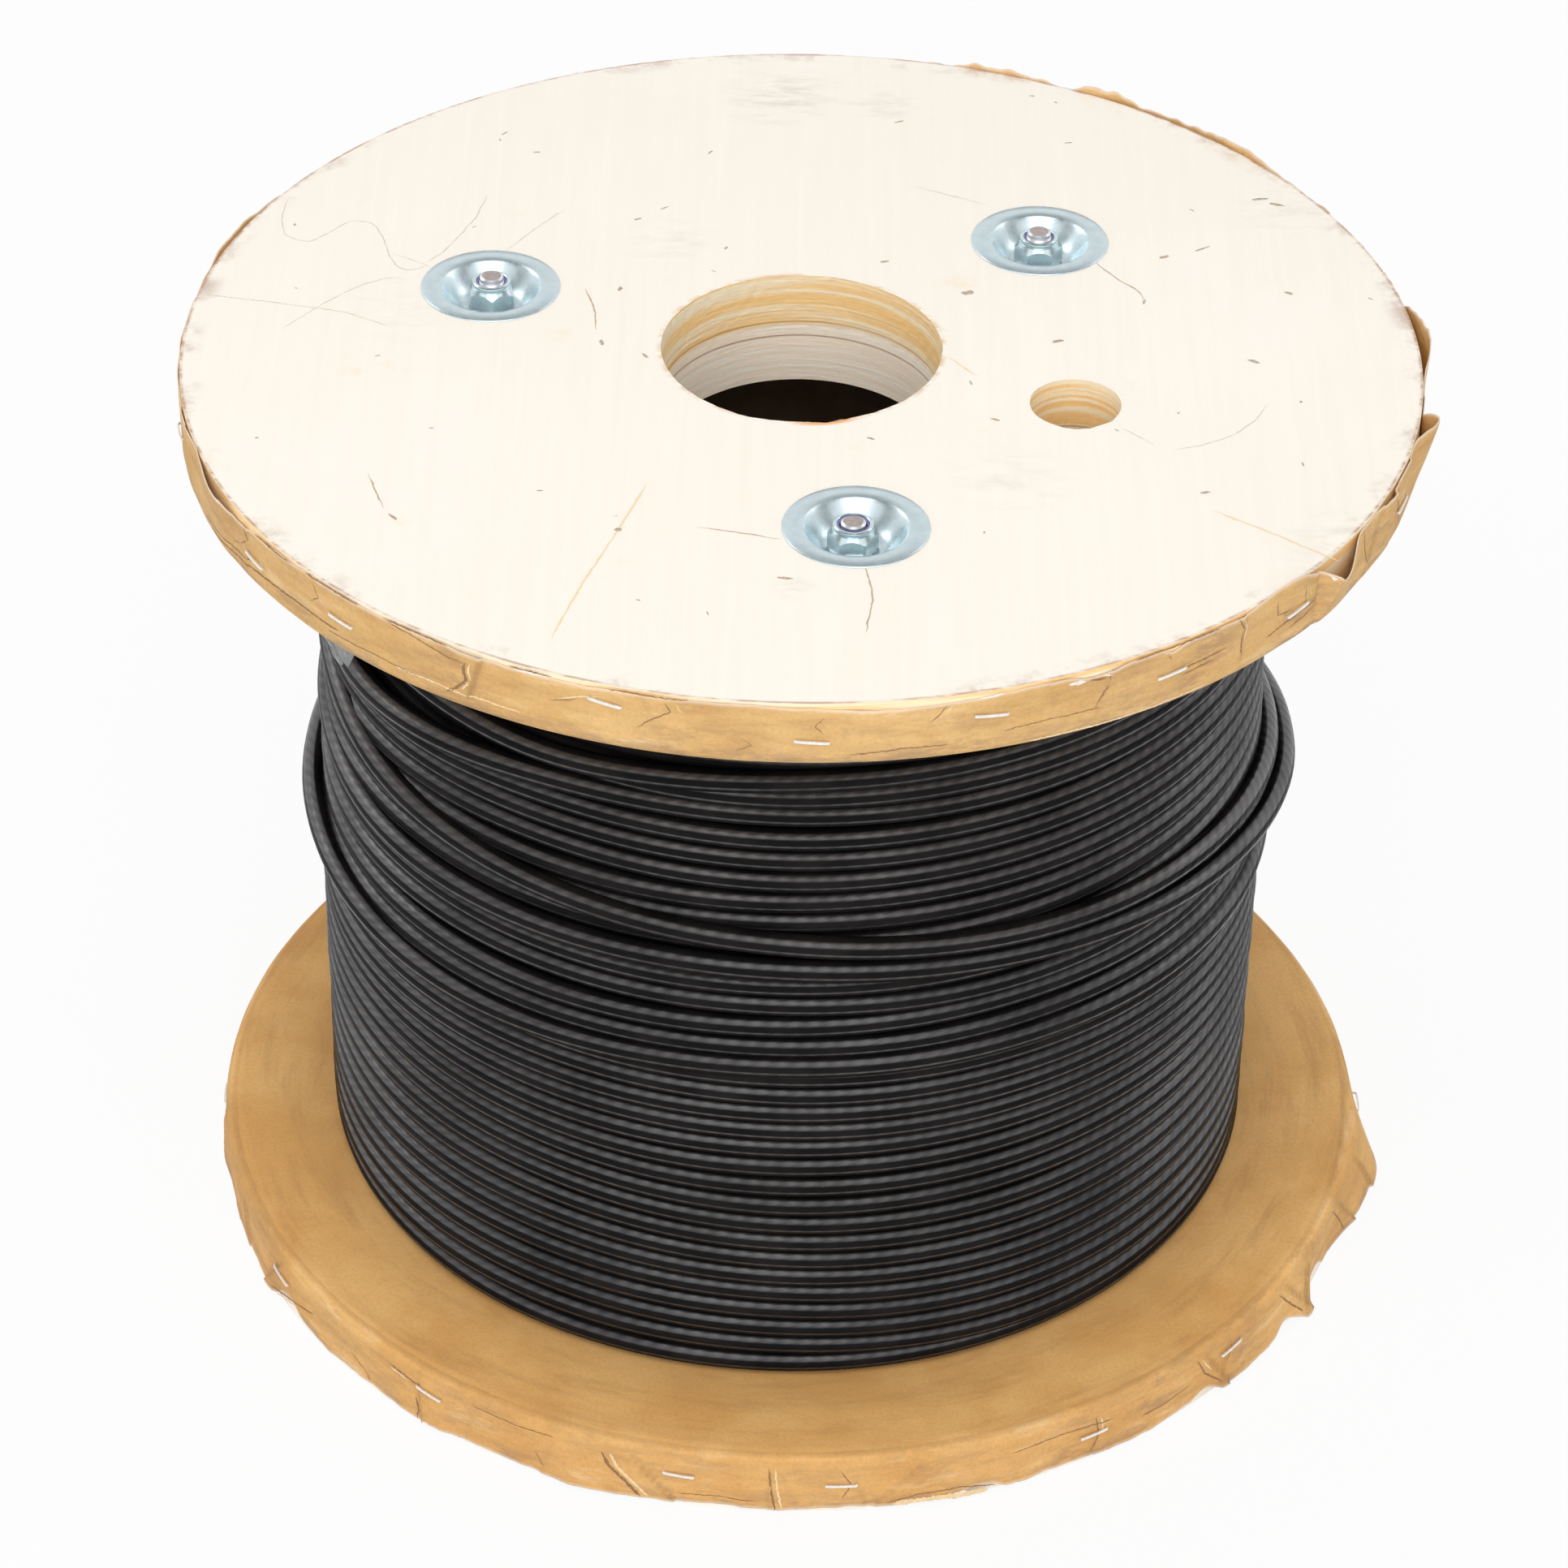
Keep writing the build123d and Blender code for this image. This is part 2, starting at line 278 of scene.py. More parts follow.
# Scuffed places round the paper of a rim: bearing, radius and strength.
SCUFFS = ((-63, 24, 0.5), (-49, 18, 0.45), (-31, 20, 0.6), (-9, 26, 0.4), (14, 22, 0.45),
          (29, 16, 0.5), (38, 20, 0.8), (50, 16, 0.9), (64, 20, 0.6), (120, 40, 0.6),
          (180, 50, 0.5), (240, 50, 0.6))


def kraft(name, light, dark, corner):
    """Brown wrapping paper with fibres, dirt near its turned corner and paler torn edges, with painted shade
    on its upright parts, on the flat paper near the rope and along the steps of its folds.
    """
    f = Finish(name, Roughness=0.78)
    position = f.place()
    z = f.parts_of(position)["Z"]
    flat = f.add("VectorMath", {0: position, 1: (1, 1, 0)}, operation="MULTIPLY").outputs[0]
    out = f.add("VectorMath", {0: flat}, operation="LENGTH").outputs["Value"]
    around = f.add("VectorMath", {0: flat}, operation="NORMALIZE").outputs[0]
    around = f.add("VectorMath", {0: around, "Scale": 2.2}, operation="SCALE").outputs[0]
    across = f.add("CombineXYZ", {"Z": f.calc("MULTIPLY_ADD", out, 95.0)}).outputs[0]
    streak_place = f.add("VectorMath", {0: around, 1: across}, operation="ADD").outputs[0]

    fibres = f.noise(position, 900.0, 3.0, 0.7)
    blotch = f.noise(position, 26.0, 5.0, 0.62)
    color = f.mix(f.span(blotch, 0.36, 0.64), light, dark)
    color = f.mix(f.span(fibres, 0.38, 0.68, 0.0, 0.20), color, (0.36, 0.22, 0.10))
    level = f.span(f.calc("ABSOLUTE", f.parts_of(f.place("Normal"))["Z"]), 0.5, 0.8)
    # Painted shade: the upright paper is darkened a little against the flat paper.
    color = f.mix(f.span(level, 0.0, 1.0, 0.11, 0.0), color, (0.12, 0.062, 0.020))
    streaks = f.noise(streak_place, 1.5, 6.0, 0.66, 0.3)
    wear_and_sheen = f.calc("MULTIPLY", level, f.span(streaks, 0.46, 0.72, 0.0, 0.42))
    color = f.mix(wear_and_sheen, color, (0.46, 0.22, 0.07))
    # Painted shade on the flat paper, darker nearer the rope.
    shade_near_rope = f.calc("MULTIPLY", level, f.span(out, 0.174, 0.148, 0.0, 0.30))
    color = f.mix(shade_near_rope, color, (0.47, 0.25, 0.085))
    dirt = f.noise(f.stretched((26, 26, 130)), 1.0, 7.0, 0.7)
    rim = f.span(out, 0.1815, 0.1842)
    dark_spots = f.calc("MULTIPLY", rim, f.span(dirt, 0.46, 0.68, 0.0, 0.55))
    pale_spots = f.calc("MULTIPLY", rim, f.span(dirt, 0.46, 0.30, 0.0, 0.45))
    color = f.mix(dark_spots, color, (0.46, 0.26, 0.10))
    color = f.mix(pale_spots, color, (0.90, 0.68, 0.38))
    low = f.span(f.calc("ABSOLUTE", f.calc("SUBTRACT", z, corner)), 0.0085, 0.001)
    scuffed = f.noise(f.stretched((55, 55, 210)), 1.0, 8.0, 0.78)
    rub = f.calc("MULTIPLY", f.calc("MULTIPLY", rim, low), f.span(scuffed, 0.42, 0.62, 0.0, 0.62))
    color = f.mix(rub, color, (0.30, 0.19, 0.12))
    for bearing, radius, share in SCUFFS:
        x, y = polar(RIM_RADIUS, bearing, 0)[:2]
        spot = f.calc("MULTIPLY", f.near(x, y, radius), f.span(scuffed, 0.45, 0.60, 0.0, 0.8 * share))
        color = f.mix(f.calc("MULTIPLY", spot, rim), color, (0.36, 0.21, 0.11))
    # Painted shade along the step of each fold.
    color = f.mix(f.calc("MULTIPLY", f.mark("crease"), 0.6), color, (0.24, 0.13, 0.055))
    color = f.mix(f.calc("MULTIPLY", f.mark("torn"), 0.7), color, (0.84, 0.70, 0.56))
    wrinkle = f.noise(position, 70.0, 5.0, 0.6)
    crumple = f.noise(f.stretched((38, 38, 90)), 1.0, 5.0, 0.6, 0.5)
    return f.done(color, None, ((f.calc("MULTIPLY", crumple, rim), 1.1), (wrinkle, 0.4)))


def coated_rope():
    """Matt black plastic over laid wire: the lay shows as a slanting ripple. A painted highlight runs along
    the crown of each turn and a painted reflection along its lower edge, both paler towards the drum's left
    and right sides.
    """
    f = Finish("rope_coating")
    along = f.parts_of(f.place("UV"))
    phase = f.calc("SUBTRACT", f.calc("MULTIPLY", along["Y"], STRANDS),
                   f.calc("MULTIPLY", along["X"], STRANDS / LAY_LENGTH))
    lay = f.calc("SINE", f.calc("MULTIPLY", phase, 2 * math.pi))
    haze = f.noise(f.place(), 55.0, 4.0)
    color = f.mix(f.span(haze, 0.35, 0.7), (0.0058, 0.0056, 0.0062), (0.0125, 0.0110, 0.0108))
    # Painted highlight along the crown of each turn; towards the drum's left and right sides the band reaches
    # further up.
    sideways = f.calc("ABSOLUTE", f.parts_of(f.place())["X"])
    girth = f.calc("SUBTRACT", along["Y"], f.span(sideways, 0.06, 0.14, 0.0, 0.09))
    crown = f.calc("MULTIPLY", f.span(along["Y"], 0.068, 0.104), f.span(girth, 0.188, 0.154))
    # Painted reflection: a thin pale line along the lower edge of each turn.
    edge_reflection = f.calc("MULTIPLY", f.span(along["Y"], 0.946, 0.970), f.span(along["Y"], 1.004, 0.982))
    crown = f.calc("MAXIMUM", crown, f.calc("MULTIPLY", edge_reflection, 0.75))
    # Noise that makes the painted highlight patchy.
    highlight_patches = f.noise(f.place(), 30.0, 4.0)
    crown = f.calc("MULTIPLY", crown, f.span(highlight_patches, 0.3, 0.7, 0.6, 1.0))
    crown = f.calc("MULTIPLY", crown, f.span(lay, -1.0, 1.0, 0.80, 1.06))
    # Colour of the painted highlight and reflection, paler towards the drum's left and right sides.
    wear_and_sheen = f.mix(f.span(sideways, 0.07, 0.14), (0.044, 0.041, 0.042), (0.095, 0.092, 0.097))
    color = f.mix(crown, color, wear_and_sheen)
    f.feed(f.shader.inputs["Specular IOR Level"], f.span(crown, 0.0, 1.0, 0.05, 0.72))
    rough = f.span(f.noise(f.place(), 160.0, 3.0), 0.3, 0.7, 0.26, 0.34)
    return f.done(color, rough, ((lay, 0.03),))


def plated(name, tint, roughness, scratch):
    """Zinc plate: bluish, with a soft spangle and fine wear."""
    f = Finish(name, Metallic=1.0)
    cloud = f.noise(f.place(), 260.0, 3.0)
    color = f.mix(f.span(cloud, 0.3, 0.7), tint, tuple(0.93 * c for c in tint))
    rough = f.span(f.noise(f.place(), 420.0, 4.0), 0.3, 0.7, roughness, roughness + 0.12)
    return f.done(color, rough, ((f.noise(f.place(), 1300.0, 2.0), scratch),))


def bolt_finish():
    """Bright zinc with a duller sawn end."""
    f = Finish("bolt_steel", Metallic=0.9)
    end = f.span(f.parts_of(f.place("Normal"))["Z"], 0.93, 0.99)
    drift = f.noise(f.place(), 900.0, 4.0)
    sawn = f.mix(f.span(drift, 0.3, 0.7), (0.60, 0.51, 0.49), (0.47, 0.40, 0.38))
    color = f.mix(end, (0.80, 0.83, 0.84), sawn)
    return f.done(color, f.span(end, 0.0, 1.0, 0.34, 0.45), ((drift, 0.03),))


def plain(name, color, spread, scale, depth, **shine):
    """A finish whose tone drifts a little, for the small pieces."""
    f = Finish(name, **shine)
    drift = f.noise(f.place(), scale, 4.0)
    tones = f.mix(f.span(drift, 0.3, 0.7), color, tuple(spread * c for c in color))
    return f.done(tones, None, ((drift, depth),))


def clear_tape():
    """Thin clear film, whiter along its folds."""
    f = Finish("clear_tape", Roughness=0.18, Alpha=0.32)
    fold = f.noise(f.place(), 300.0, 3.0)
    color = f.mix(f.span(fold, 0.4, 0.6), (0.80, 0.84, 0.84), (0.55, 0.60, 0.60))
    return f.done(color, None, ((fold, 0.4),))


PLYWOOD = plywood()
TOP_KRAFT = kraft("kraft_top", (0.80, 0.505, 0.205), (0.71, 0.415, 0.145), 0.279)
LOWER_KRAFT = kraft("kraft_bottom", (0.85, 0.492, 0.172), (0.74, 0.388, 0.115), 0.0)
ROPE = coated_rope()
WASHER_PLATE = plated("zinc_plate", (0.70, 0.82, 0.86), 0.24, 0.004)
NUT_PLATE = plated("nut_plate", (0.70, 0.83, 0.86), 0.12, 0.005)
BOLT_STEEL = bolt_finish()
NUT_RING = plain("nut_ring", (0.26, 0.23, 0.50), 0.8, 500.0, 0.02, Roughness=0.3)
BARREL_BOARD = plain("barrel_board", (0.20, 0.135, 0.09), 0.7, 60.0, 0.2, Roughness=0.9)
STAPLE_WIRE = plain("staple_wire", (0.93, 0.92, 0.90), 0.85, 900.0, 0.02, Metallic=0.6, Roughness=0.3)
PENCIL = plain("pencil", (0.58, 0.51, 0.43), 1.4, 1200.0, 0.0, Roughness=0.8)
SPLIT = plain("split_wood", (0.64, 0.47, 0.33), 0.8, 900.0, 0.0, Roughness=0.85)
KNOT = plain("wood_fleck", (0.62, 0.50, 0.38), 0.62, 700.0, 0.0, Roughness=0.8)
STAIN = plain("resin_line", (0.92, 0.73, 0.47), 0.95, 700.0, 0.0, Roughness=0.7)
TAPE = clear_tape()
# Dark lines laid on the paper as painted shade in its folds.
FOLD_SHADE = plain("painted_fold_shade", (0.34, 0.185, 0.080), 0.7, 800.0, 0.0, Roughness=0.8)
# Pale lines laid on the paper as painted highlight on the lit side of its folds.
FOLD_HIGHLIGHT = plain("painted_fold_highlight", (0.88, 0.66, 0.38), 0.85, 800.0, 0.0, Roughness=0.8)
TORN = plain("torn_paper", (0.90, 0.84, 0.76), 0.85, 800.0, 0.1, Roughness=0.9)

node_finishes = {
    "bottom_flange": PLYWOOD, "top_core_disc": PLYWOOD, "bottom_core_disc": PLYWOOD,
    "barrel": BARREL_BOARD, "bottom_dished_washers": WASHER_PLATE,
}
for node, finish in node_finishes.items():
    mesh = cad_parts[node].data
    mesh.materials.clear()
    mesh.materials.append(finish)


# ---- The top flange ----

def circle_of(centre, radii, bearings, height):
    """A ring of points round a centre; radii and height may vary with bearing."""
    return polar(radii, bearings, height) + (centre[0], centre[1], 0)


# The washers and the upper ends of the bolts sit a little to the left of the drawn places.
WASHER_SHIFTS = (-2.1, -0.7, -2.7)
BOLT_SHIFTS = (-2.4, -0.4, -3.5)
bolt_centres = [tuple(polar(BOLT_CIRCLE, bearing, 0)[:2]) for bearing in BOLT_BEARINGS]
washer_centres = [(x + shift, y) for (x, y), shift in zip(bolt_centres, WASHER_SHIFTS)]


# The dish under a washer and the bolt's hole: radius, depth and whether it is bare ply.
WASHER_SEAT = ((19.0, 0.0, 0.0), (15.2, 1.1, 1.0), (10.0, 8.6, 1.0), (5.6, 8.6, 1.0),
               (5.6, FACE - UNDER_FACE, 1.0))


def top_board():
    """The top flange with its chipped bore, ragged drive hole and washer seats.

    Each edge is a loop of rings from the face down; both flat faces are triangles
    between the loops, without those that would close a hole."""
    def wall(centre, radius, count, depths, chip, seed):
        bearings = np.arange(count) * 360 / count
        rings = []
        for k, depth in enumerate(depths):
            rough = 0.07 * ripple(bearings, depth, seed, (5, 60), 1.6) if 0 < k else 0
            rings.append((circle_of(centre, radius + rough + chip(bearings, depth), bearings,
                                    FACE - depth), 1.0 if k else 0.0))
        return rings

    def bore_chips(bearings, depth):
        big = 0.7 * bump_at(bearings, 10, 7) + 0.4 * bump_at(bearings, -22, 14)
        fray = 0.30 * np.maximum(0, ripple(bearings, 0, 5, (20, 90), 0))
        fray = fray * (0.4 + bump_at(bearings, 0, 60))
        return (big + fray) * math.exp(-depth / 0.6)

    def drive_chips(bearings, depth):
        lip = 1.3 * np.maximum(0, ripple(bearings, 0, 8, (7, 23), 0)) * bump_at(bearings, 0, 75)
        rough = 0.12 * np.maximum(0, ripple(bearings, 0, 9, (8, 30), 0))
        return lip * math.exp(-depth / 0.8) + rough

    layer_depths = (0, 0.5, 1.4, 2.6, 3.9, 5.4, 6.8, 8.2, 9.7, 11.3, 12.8, 14.2, 15.8, 17.2, 18.4, 21)
    bearings = np.arange(360.0)
    loops = [[
        (circle_of((0, 0), RIM_RADIUS - 0.2, bearings, FACE), 0.0),
        (circle_of((0, 0), RIM_RADIUS, bearings, FACE - 0.2), 0.6),
        (circle_of((0, 0), RIM_RADIUS, bearings, UNDER_FACE + 2.5), 1.0),
        (circle_of((0, 0), RIM_RADIUS - 2.5, bearings, UNDER_FACE), 0.2),
    ]]
    loops.append(wall((0, 0), BORE_RADIUS, 240, layer_depths, bore_chips, 11))
    drive_at = polar(DRIVE_HOLE[0], DRIVE_HOLE[1], 0)[:2]
    loops.append(wall(drive_at, DRIVE_HOLE[2], 90, layer_depths, drive_chips, 12))
    for at in washer_centres:
        ring = np.arange(48) * 7.5
        loops.append([(circle_of(at, radius, ring, FACE - depth), bare)
                      for radius, depth, bare in WASHER_SEAT])

    points, raw, faces, starts = [], [], [], []
    for number, loop in enumerate(loops):
        starts.append([])
        for ring, bare in loop:
            starts[-1].append(len(raw))
            points += list(ring)
            raw += [bare] * len(ring)
        count = len(loop[0][0])
        quads = grid_faces(len(loop), count)
        first = starts[-1][0]
        faces += [tuple(first + i for i in (quad if number else quad[::-1])) for quad in quads]
    for end in (0, -1):
        holes = [(start[end], len(loop[0][0])) for start, loop in list(zip(starts, loops))[1:]]
        outline, index, edges = [], [], []
        for start, loop in zip(starts, loops):
            count = len(loop[0][0])
            offset = len(outline)
            ids = [start[end] + i for i in range(count)]
            index += ids
            outline += [Vector(points[i][:2]) for i in ids]
            edges += [(offset + i, offset + (i + 1) % count) for i in range(count)]
        flat = delaunay_2d_cdt(outline, edges, [], 0, 1e-6)
        owner = [index[origin[0]] for origin in flat[3]]
        at = np.array([tuple(v) for v in flat[0]])
        for triangle in flat[2]:
            middle = at[list(triangle)].mean(0)
            if np.hypot(*middle) > RIM_RADIUS - 0.2 - 2.3 * (end == -1):
                continue
            corners = tuple(owner[i] for i in triangle)
            if any(all(low <= c < low + count for c in corners) for low, count in holes):
                continue
            up = np.cross(at[triangle[1]] - at[triangle[0]], at[triangle[2]] - at[triangle[0]]) > 0
            faces.append(corners if up == (end == 0) else corners[::-1])
    return make_piece("top_board", points, faces, PLYWOOD, smooth=False, marks={"raw": raw})


board = top_board()
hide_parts("top_flange")
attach(board, "root")


# ---- Marks on the face ----

def strokes(name, lines, width, finish, seed, lift=0.03):
    """Fine lines drawn on the face: each is a run of points x, y in millimetres."""
    dice = np.random.default_rng(seed)
    points, faces = [], []
    for line in lines:
        knots = np.asarray(line, float)
        steps = np.hypot(*np.diff(knots, axis=0).T)
        along = np.r_[0, np.cumsum(steps)]
        fine = np.linspace(0, along[-1], max(8, int(along[-1] / 1.5)))
        path = np.stack([np.interp(fine, along, knots[:, k]) for k in (0, 1)], -1)
        for _ in range(3):
            path[1:-1] = (path[:-2] + 2 * path[1:-1] + path[2:]) / 4
        path += dice.normal(0, 0.10, path.shape)
        side = np.gradient(path, axis=0)
        side = np.stack([-side[:, 1], side[:, 0]], -1) / np.linalg.norm(side, axis=1)[:, None]
        taper = np.minimum(1, np.minimum(fine, fine[-1] - fine) / 6 + 0.15)
        half = (width / 2 * taper * dice.uniform(0.55, 1.25, len(fine)))[:, None]
        start = len(points)
        for a, b in zip(path + side * half, path - side * half):
            points += [(*a, FACE + lift), (*b, FACE + lift)]
        for k in range(len(fine) - 1):
            n = start + 2 * k
            faces.append((n, n + 1, n + 3, n + 2))
    return make_piece(name, points, faces, finish, smooth=False)


pencil_lines = strokes("pencil_lines", [
    [(-161, 84.6), (-162, 71.4), (-160, 60.8), (-152, 56.8), (-145.4, 64.8), (-140, 71.4), (-133.5, 70),
     (-129.5, 60.8), (-126.3, 47.6), (-123, 41.8), (-119, 41), (-115, 44.4)],
    [(-99, 88.5), (-101.7, 74), (-107, 60.8), (-111, 51.5), (-116.3, 45)],
    [(-74, 80.6), (-83.3, 67.4), (-91.2, 54.2)],
    [(-126.3, 51.5), (-113.6, 43.6)],
    [(-183, 25), (-164, 21.7), (-137.4, 15.9), (-123, 7.4)],
    [(-156, 5.3), (-145.4, 19.8), (-134.8, 31.7), (-125.5, 37), (-120.8, 36.2)],
    [(34.4, 98.3), (46.3, 92.5), (58, 86.7)],
    [(137.4, -27.8), (133.5, -37), (125.5, -46.3), (116.3, -51.5), (108.4, -54.2)],
    [(93.8, -42.3), (103, -51.5)],
], 0.34, PENCIL, 3)
wood_cracks = strokes("wood_cracks", [
    [(89.3, 53.4), (96.5, 42.3), (102.5, 36.2), (103.9, 30.4)],
    [(-29, -99), (-15.9, -101.7), (-4.8, -104.7)],
    [(18.5, -116.3), (21.1, -132), (19, -150.6)],
    [(-66, 31.7), (-62.6, 19.8), (-61.8, 8)],
    [(-124, -74), (-118, -92)],
], 0.5, SPLIT, 4)
resin_lines = strokes("resin_lines", [
    [(-43.6, -76.6), (-50.7, -100.4), (-59.5, -126.9), (-67.4, -156)],
    [(43.6, -4), (47.6, -9.3), (52.3, -15.3)],
    [(118, -85.9), (134.8, -97.8), (152, -111)],
    [(36.5, 17), (44, 10.5)],
], 0.75, STAIN, 5)


def flecks():
    """Knots and dark flecks in the veneer: x, y, length, width and direction."""
    dice = np.random.default_rng(21)
    places = [(50.2, 33.3, 4.2, 2.6, 20), (-55.5, 32.2, 3, 1.5, 80), (-59.7, 0.8, 3.6, 1.4, 100),
              (25.1, 51.3, 3.2, 1.2, 20), (142.7, 93.8, 5.5, 1.5, 10), (148, 90.4, 5.5, 1.5, -20),
              (111, 56.8, 4, 1.6, 30), (122.9, 62.1, 6, 0.8, 35), (148, 36.2, 3.4, 1.5, -40),
              (103.6, 29.6, 3, 1, 80), (76.7, 5.8, 4, 1.6, 20), (134.8, -4, 4.5, 1.6, -30),
              (116.3, -76.6, 3.4, 1.3, 20), (-115, -96.5, 4.5, 1.0, -50), (-4, -124.2, 5, 1.2, -10),
              (-23.8, 57.9, 2, 1, 60), (-51.5, 74.8, 3, 1, 30), (-43.6, 81.9, 3.6, 0.7, 40),
              (75.3, 47.6, 3, 0.9, 20), (-46.5, -6.5, 3.4, 1.2, -55), (57, -39, 3, 1, -25),
              (-51, -101, 2.2, 2, 0), (20.5, -50.5, 2.6, 1.1, -30), (-30, 118, 3, 0.8, 60),
              (84, 128, 3, 0.7, 15), (30, 140, 4, 0.8, 25), (-96, 128, 3, 0.7, 50)]
    for _ in range(26):
        r, b = 176 * math.sqrt(dice.uniform(0.08, 1)), dice.uniform(0, 360)
        x, y, _z = polar(r, b, 0)
        places.append((x, y, dice.uniform(1.2, 2.6), dice.uniform(0.4, 0.9), dice.uniform(0, 180)))
    points, faces = [], []
    for x, y, length, width, direction in places:
        start = len(points)
        turn = math.radians(direction)
        for a in np.arange(12) * math.pi / 6:
            jag = dice.uniform(0.7, 1.15)
            u, v = length / 2 * math.cos(a) * jag, width / 2 * math.sin(a) * jag
            points.append((x + u * math.cos(turn) - v * math.sin(turn),
                           y + u * math.sin(turn) + v * math.cos(turn), FACE + 0.035))
        faces.append(tuple(range(start, start + 12)))
    return make_piece("wood_flecks", points, faces, KNOT, smooth=False)


for piece in (pencil_lines, wood_cracks, resin_lines, flecks()):
    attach(piece, "root")


# ---- Washers and stud ends ----

def washer_outline(rim_top):
    """The pressed washer: flat rim, rounded shoulder, bowl-shaped dish and flat floor."""
    rim, depth, sheet, hole = rim_top, 7.4, 1.3, 4.5
    radii = np.linspace(15.6, 7.6, 15)
    share = (15.6 - radii) / (15.6 - 7.6)
    dish = np.sin(share * math.pi / 2) ** 1.25
    bowl = [(r, rim - depth * d) for r, d in zip(radii[::-1], dish[::-1])]
    edge = [(17.5, rim + 0.08), (20.9, rim), (21.2, rim - 0.3), (21.2, rim - sheet), (15.8, rim - sheet)]
    under = [(r - 0.8, rim - sheet - depth * d) for r, d in zip(radii, dish)]
    return [(hole, rim - depth)] + bowl + edge + under + [(hole, rim - depth - sheet)]


washers = lathe("top_washers", washer_outline(FACE + 0.5)[::-1], WASHER_PLATE, 96, washer_centres)
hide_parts("top_dished_washers")
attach(washers, "root")

NUT_SEAT = FACE - 6.9
NUT_TURNS = (31.0, 4.0, 28.0)
NUT_LIFTS = (0.8, 1.3, 0.3)
TIP_HEIGHTS = (303.6, 303.9, 302.0)
ALL_BOLTS = (0, 1, 2)


def on_bolts(name, rings_of, finish, numbers, capped):
    """Rings stacked to a piece at each bolt; a ring has its radius and height."""
    bearings = np.arange(0, 360, 5.0)
    count = len(bearings)
    points, faces = [], []
    for number in numbers:
        start = count * len(points)
        rings = rings_of(bearings - NUT_TURNS[number], number)
        for radius, height in rings:
            x, y = bolt_centres[number]
            x += BOLT_SHIFTS[number] * np.interp(np.mean(height), (20, 280), (0, 1))
            points.append(polar(radius, bearings, height) + (x, y, 0))
        quads = grid_faces(len(rings), count, closed_rows=not capped)
        faces += [tuple(start + i for i in quad) for quad in quads]
        if capped:
            ends = (start, start + (len(rings) - 1) * count)
            faces += [tuple(ends[0] + i for i in range(count))[::-1],
                      tuple(ends[1] + i for i in range(count))]
    piece = make_piece(name, np.concatenate(points), faces, finish)
    piece.data.set_sharp_from_angle(angle=math.radians(28))
    return piece


def hexagon(bearings):
    """Radius of the hexagon with a corner at bearing 0."""
    return 6.5 / np.cos(np.radians(bearings % 60 - 30))


def nut_rings_of(bearings, number):
    """Hexagon with a chamfered top, and the collar that holds the plastic ring."""
    flat = hexagon(bearings)
    top = NUT_SEAT + 6.2 + NUT_LIFTS[number]
    collar = [(5.75, top + 0.05), (5.95, top + 0.5), (6.0, top + 1.1), (5.85, top + 1.5),
              (5.45, top + 1.75), (4.95, top + 1.75), (4.72, top + 1.6), (4.68, top - 0.3),
              (4.05, top - 0.4)]
    return [(4.05, NUT_SEAT), (np.minimum(flat, 6.9), NUT_SEAT), (flat, NUT_SEAT + 0.35),
            (flat, top - 0.3 - 1.3 * (flat - 6.2)), (6.0, top)] + collar


def ring_rings_of(bearings, number):
    """The plastic ring in the collar."""
    low, high = NUT_SEAT + 5.95 + NUT_LIFTS[number], NUT_SEAT + 7.6 + NUT_LIFTS[number]
    return [(4.06, low), (4.66, low), (4.66, high - 0.1), (4.56, high), (4.2, high - 0.05),
            (4.06, high - 0.3)]


def bolt_rings_of(bearings, number):
    """Hexagon head below, plain shank, and the threaded end with its chamfer."""
    flat = hexagon(bearings)
    tip = TIP_HEIGHTS[number]
    rings = [(5.9, 2.1), (flat, 2.1 + 0.6 * (flat - 5.9)), (flat, 7.4), (3.95, 7.4), (3.95, 290.0)]
    for k in range(9):
        low = tip - 1.45 - 1.25 * (9 - k)
        rings += [(3.98, low + 0.5), (3.45, low + 1.12)]
    return rings + [(3.35, tip - 1.0), (3.62, tip - 0.5), (3.0, tip - 0.06), (2.9, tip)]


nuts = on_bolts("nuts_with_collar", nut_rings_of, NUT_PLATE, ALL_BOLTS, False)
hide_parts("lock_nuts")
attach(nuts, "root")
nut_rings = on_bolts("nut_rings", ring_rings_of, NUT_RING, ALL_BOLTS, False)
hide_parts("lock_nut_rings")
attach(nut_rings, "root")
for number in ALL_BOLTS:
    bolt = on_bolts(f"threaded_bolt_{number + 1}", bolt_rings_of, BOLT_STEEL, (number,), True)
    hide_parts(f"tie_bolt_{number + 1}")
    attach(bolt, "root")


# ---- Rope ----

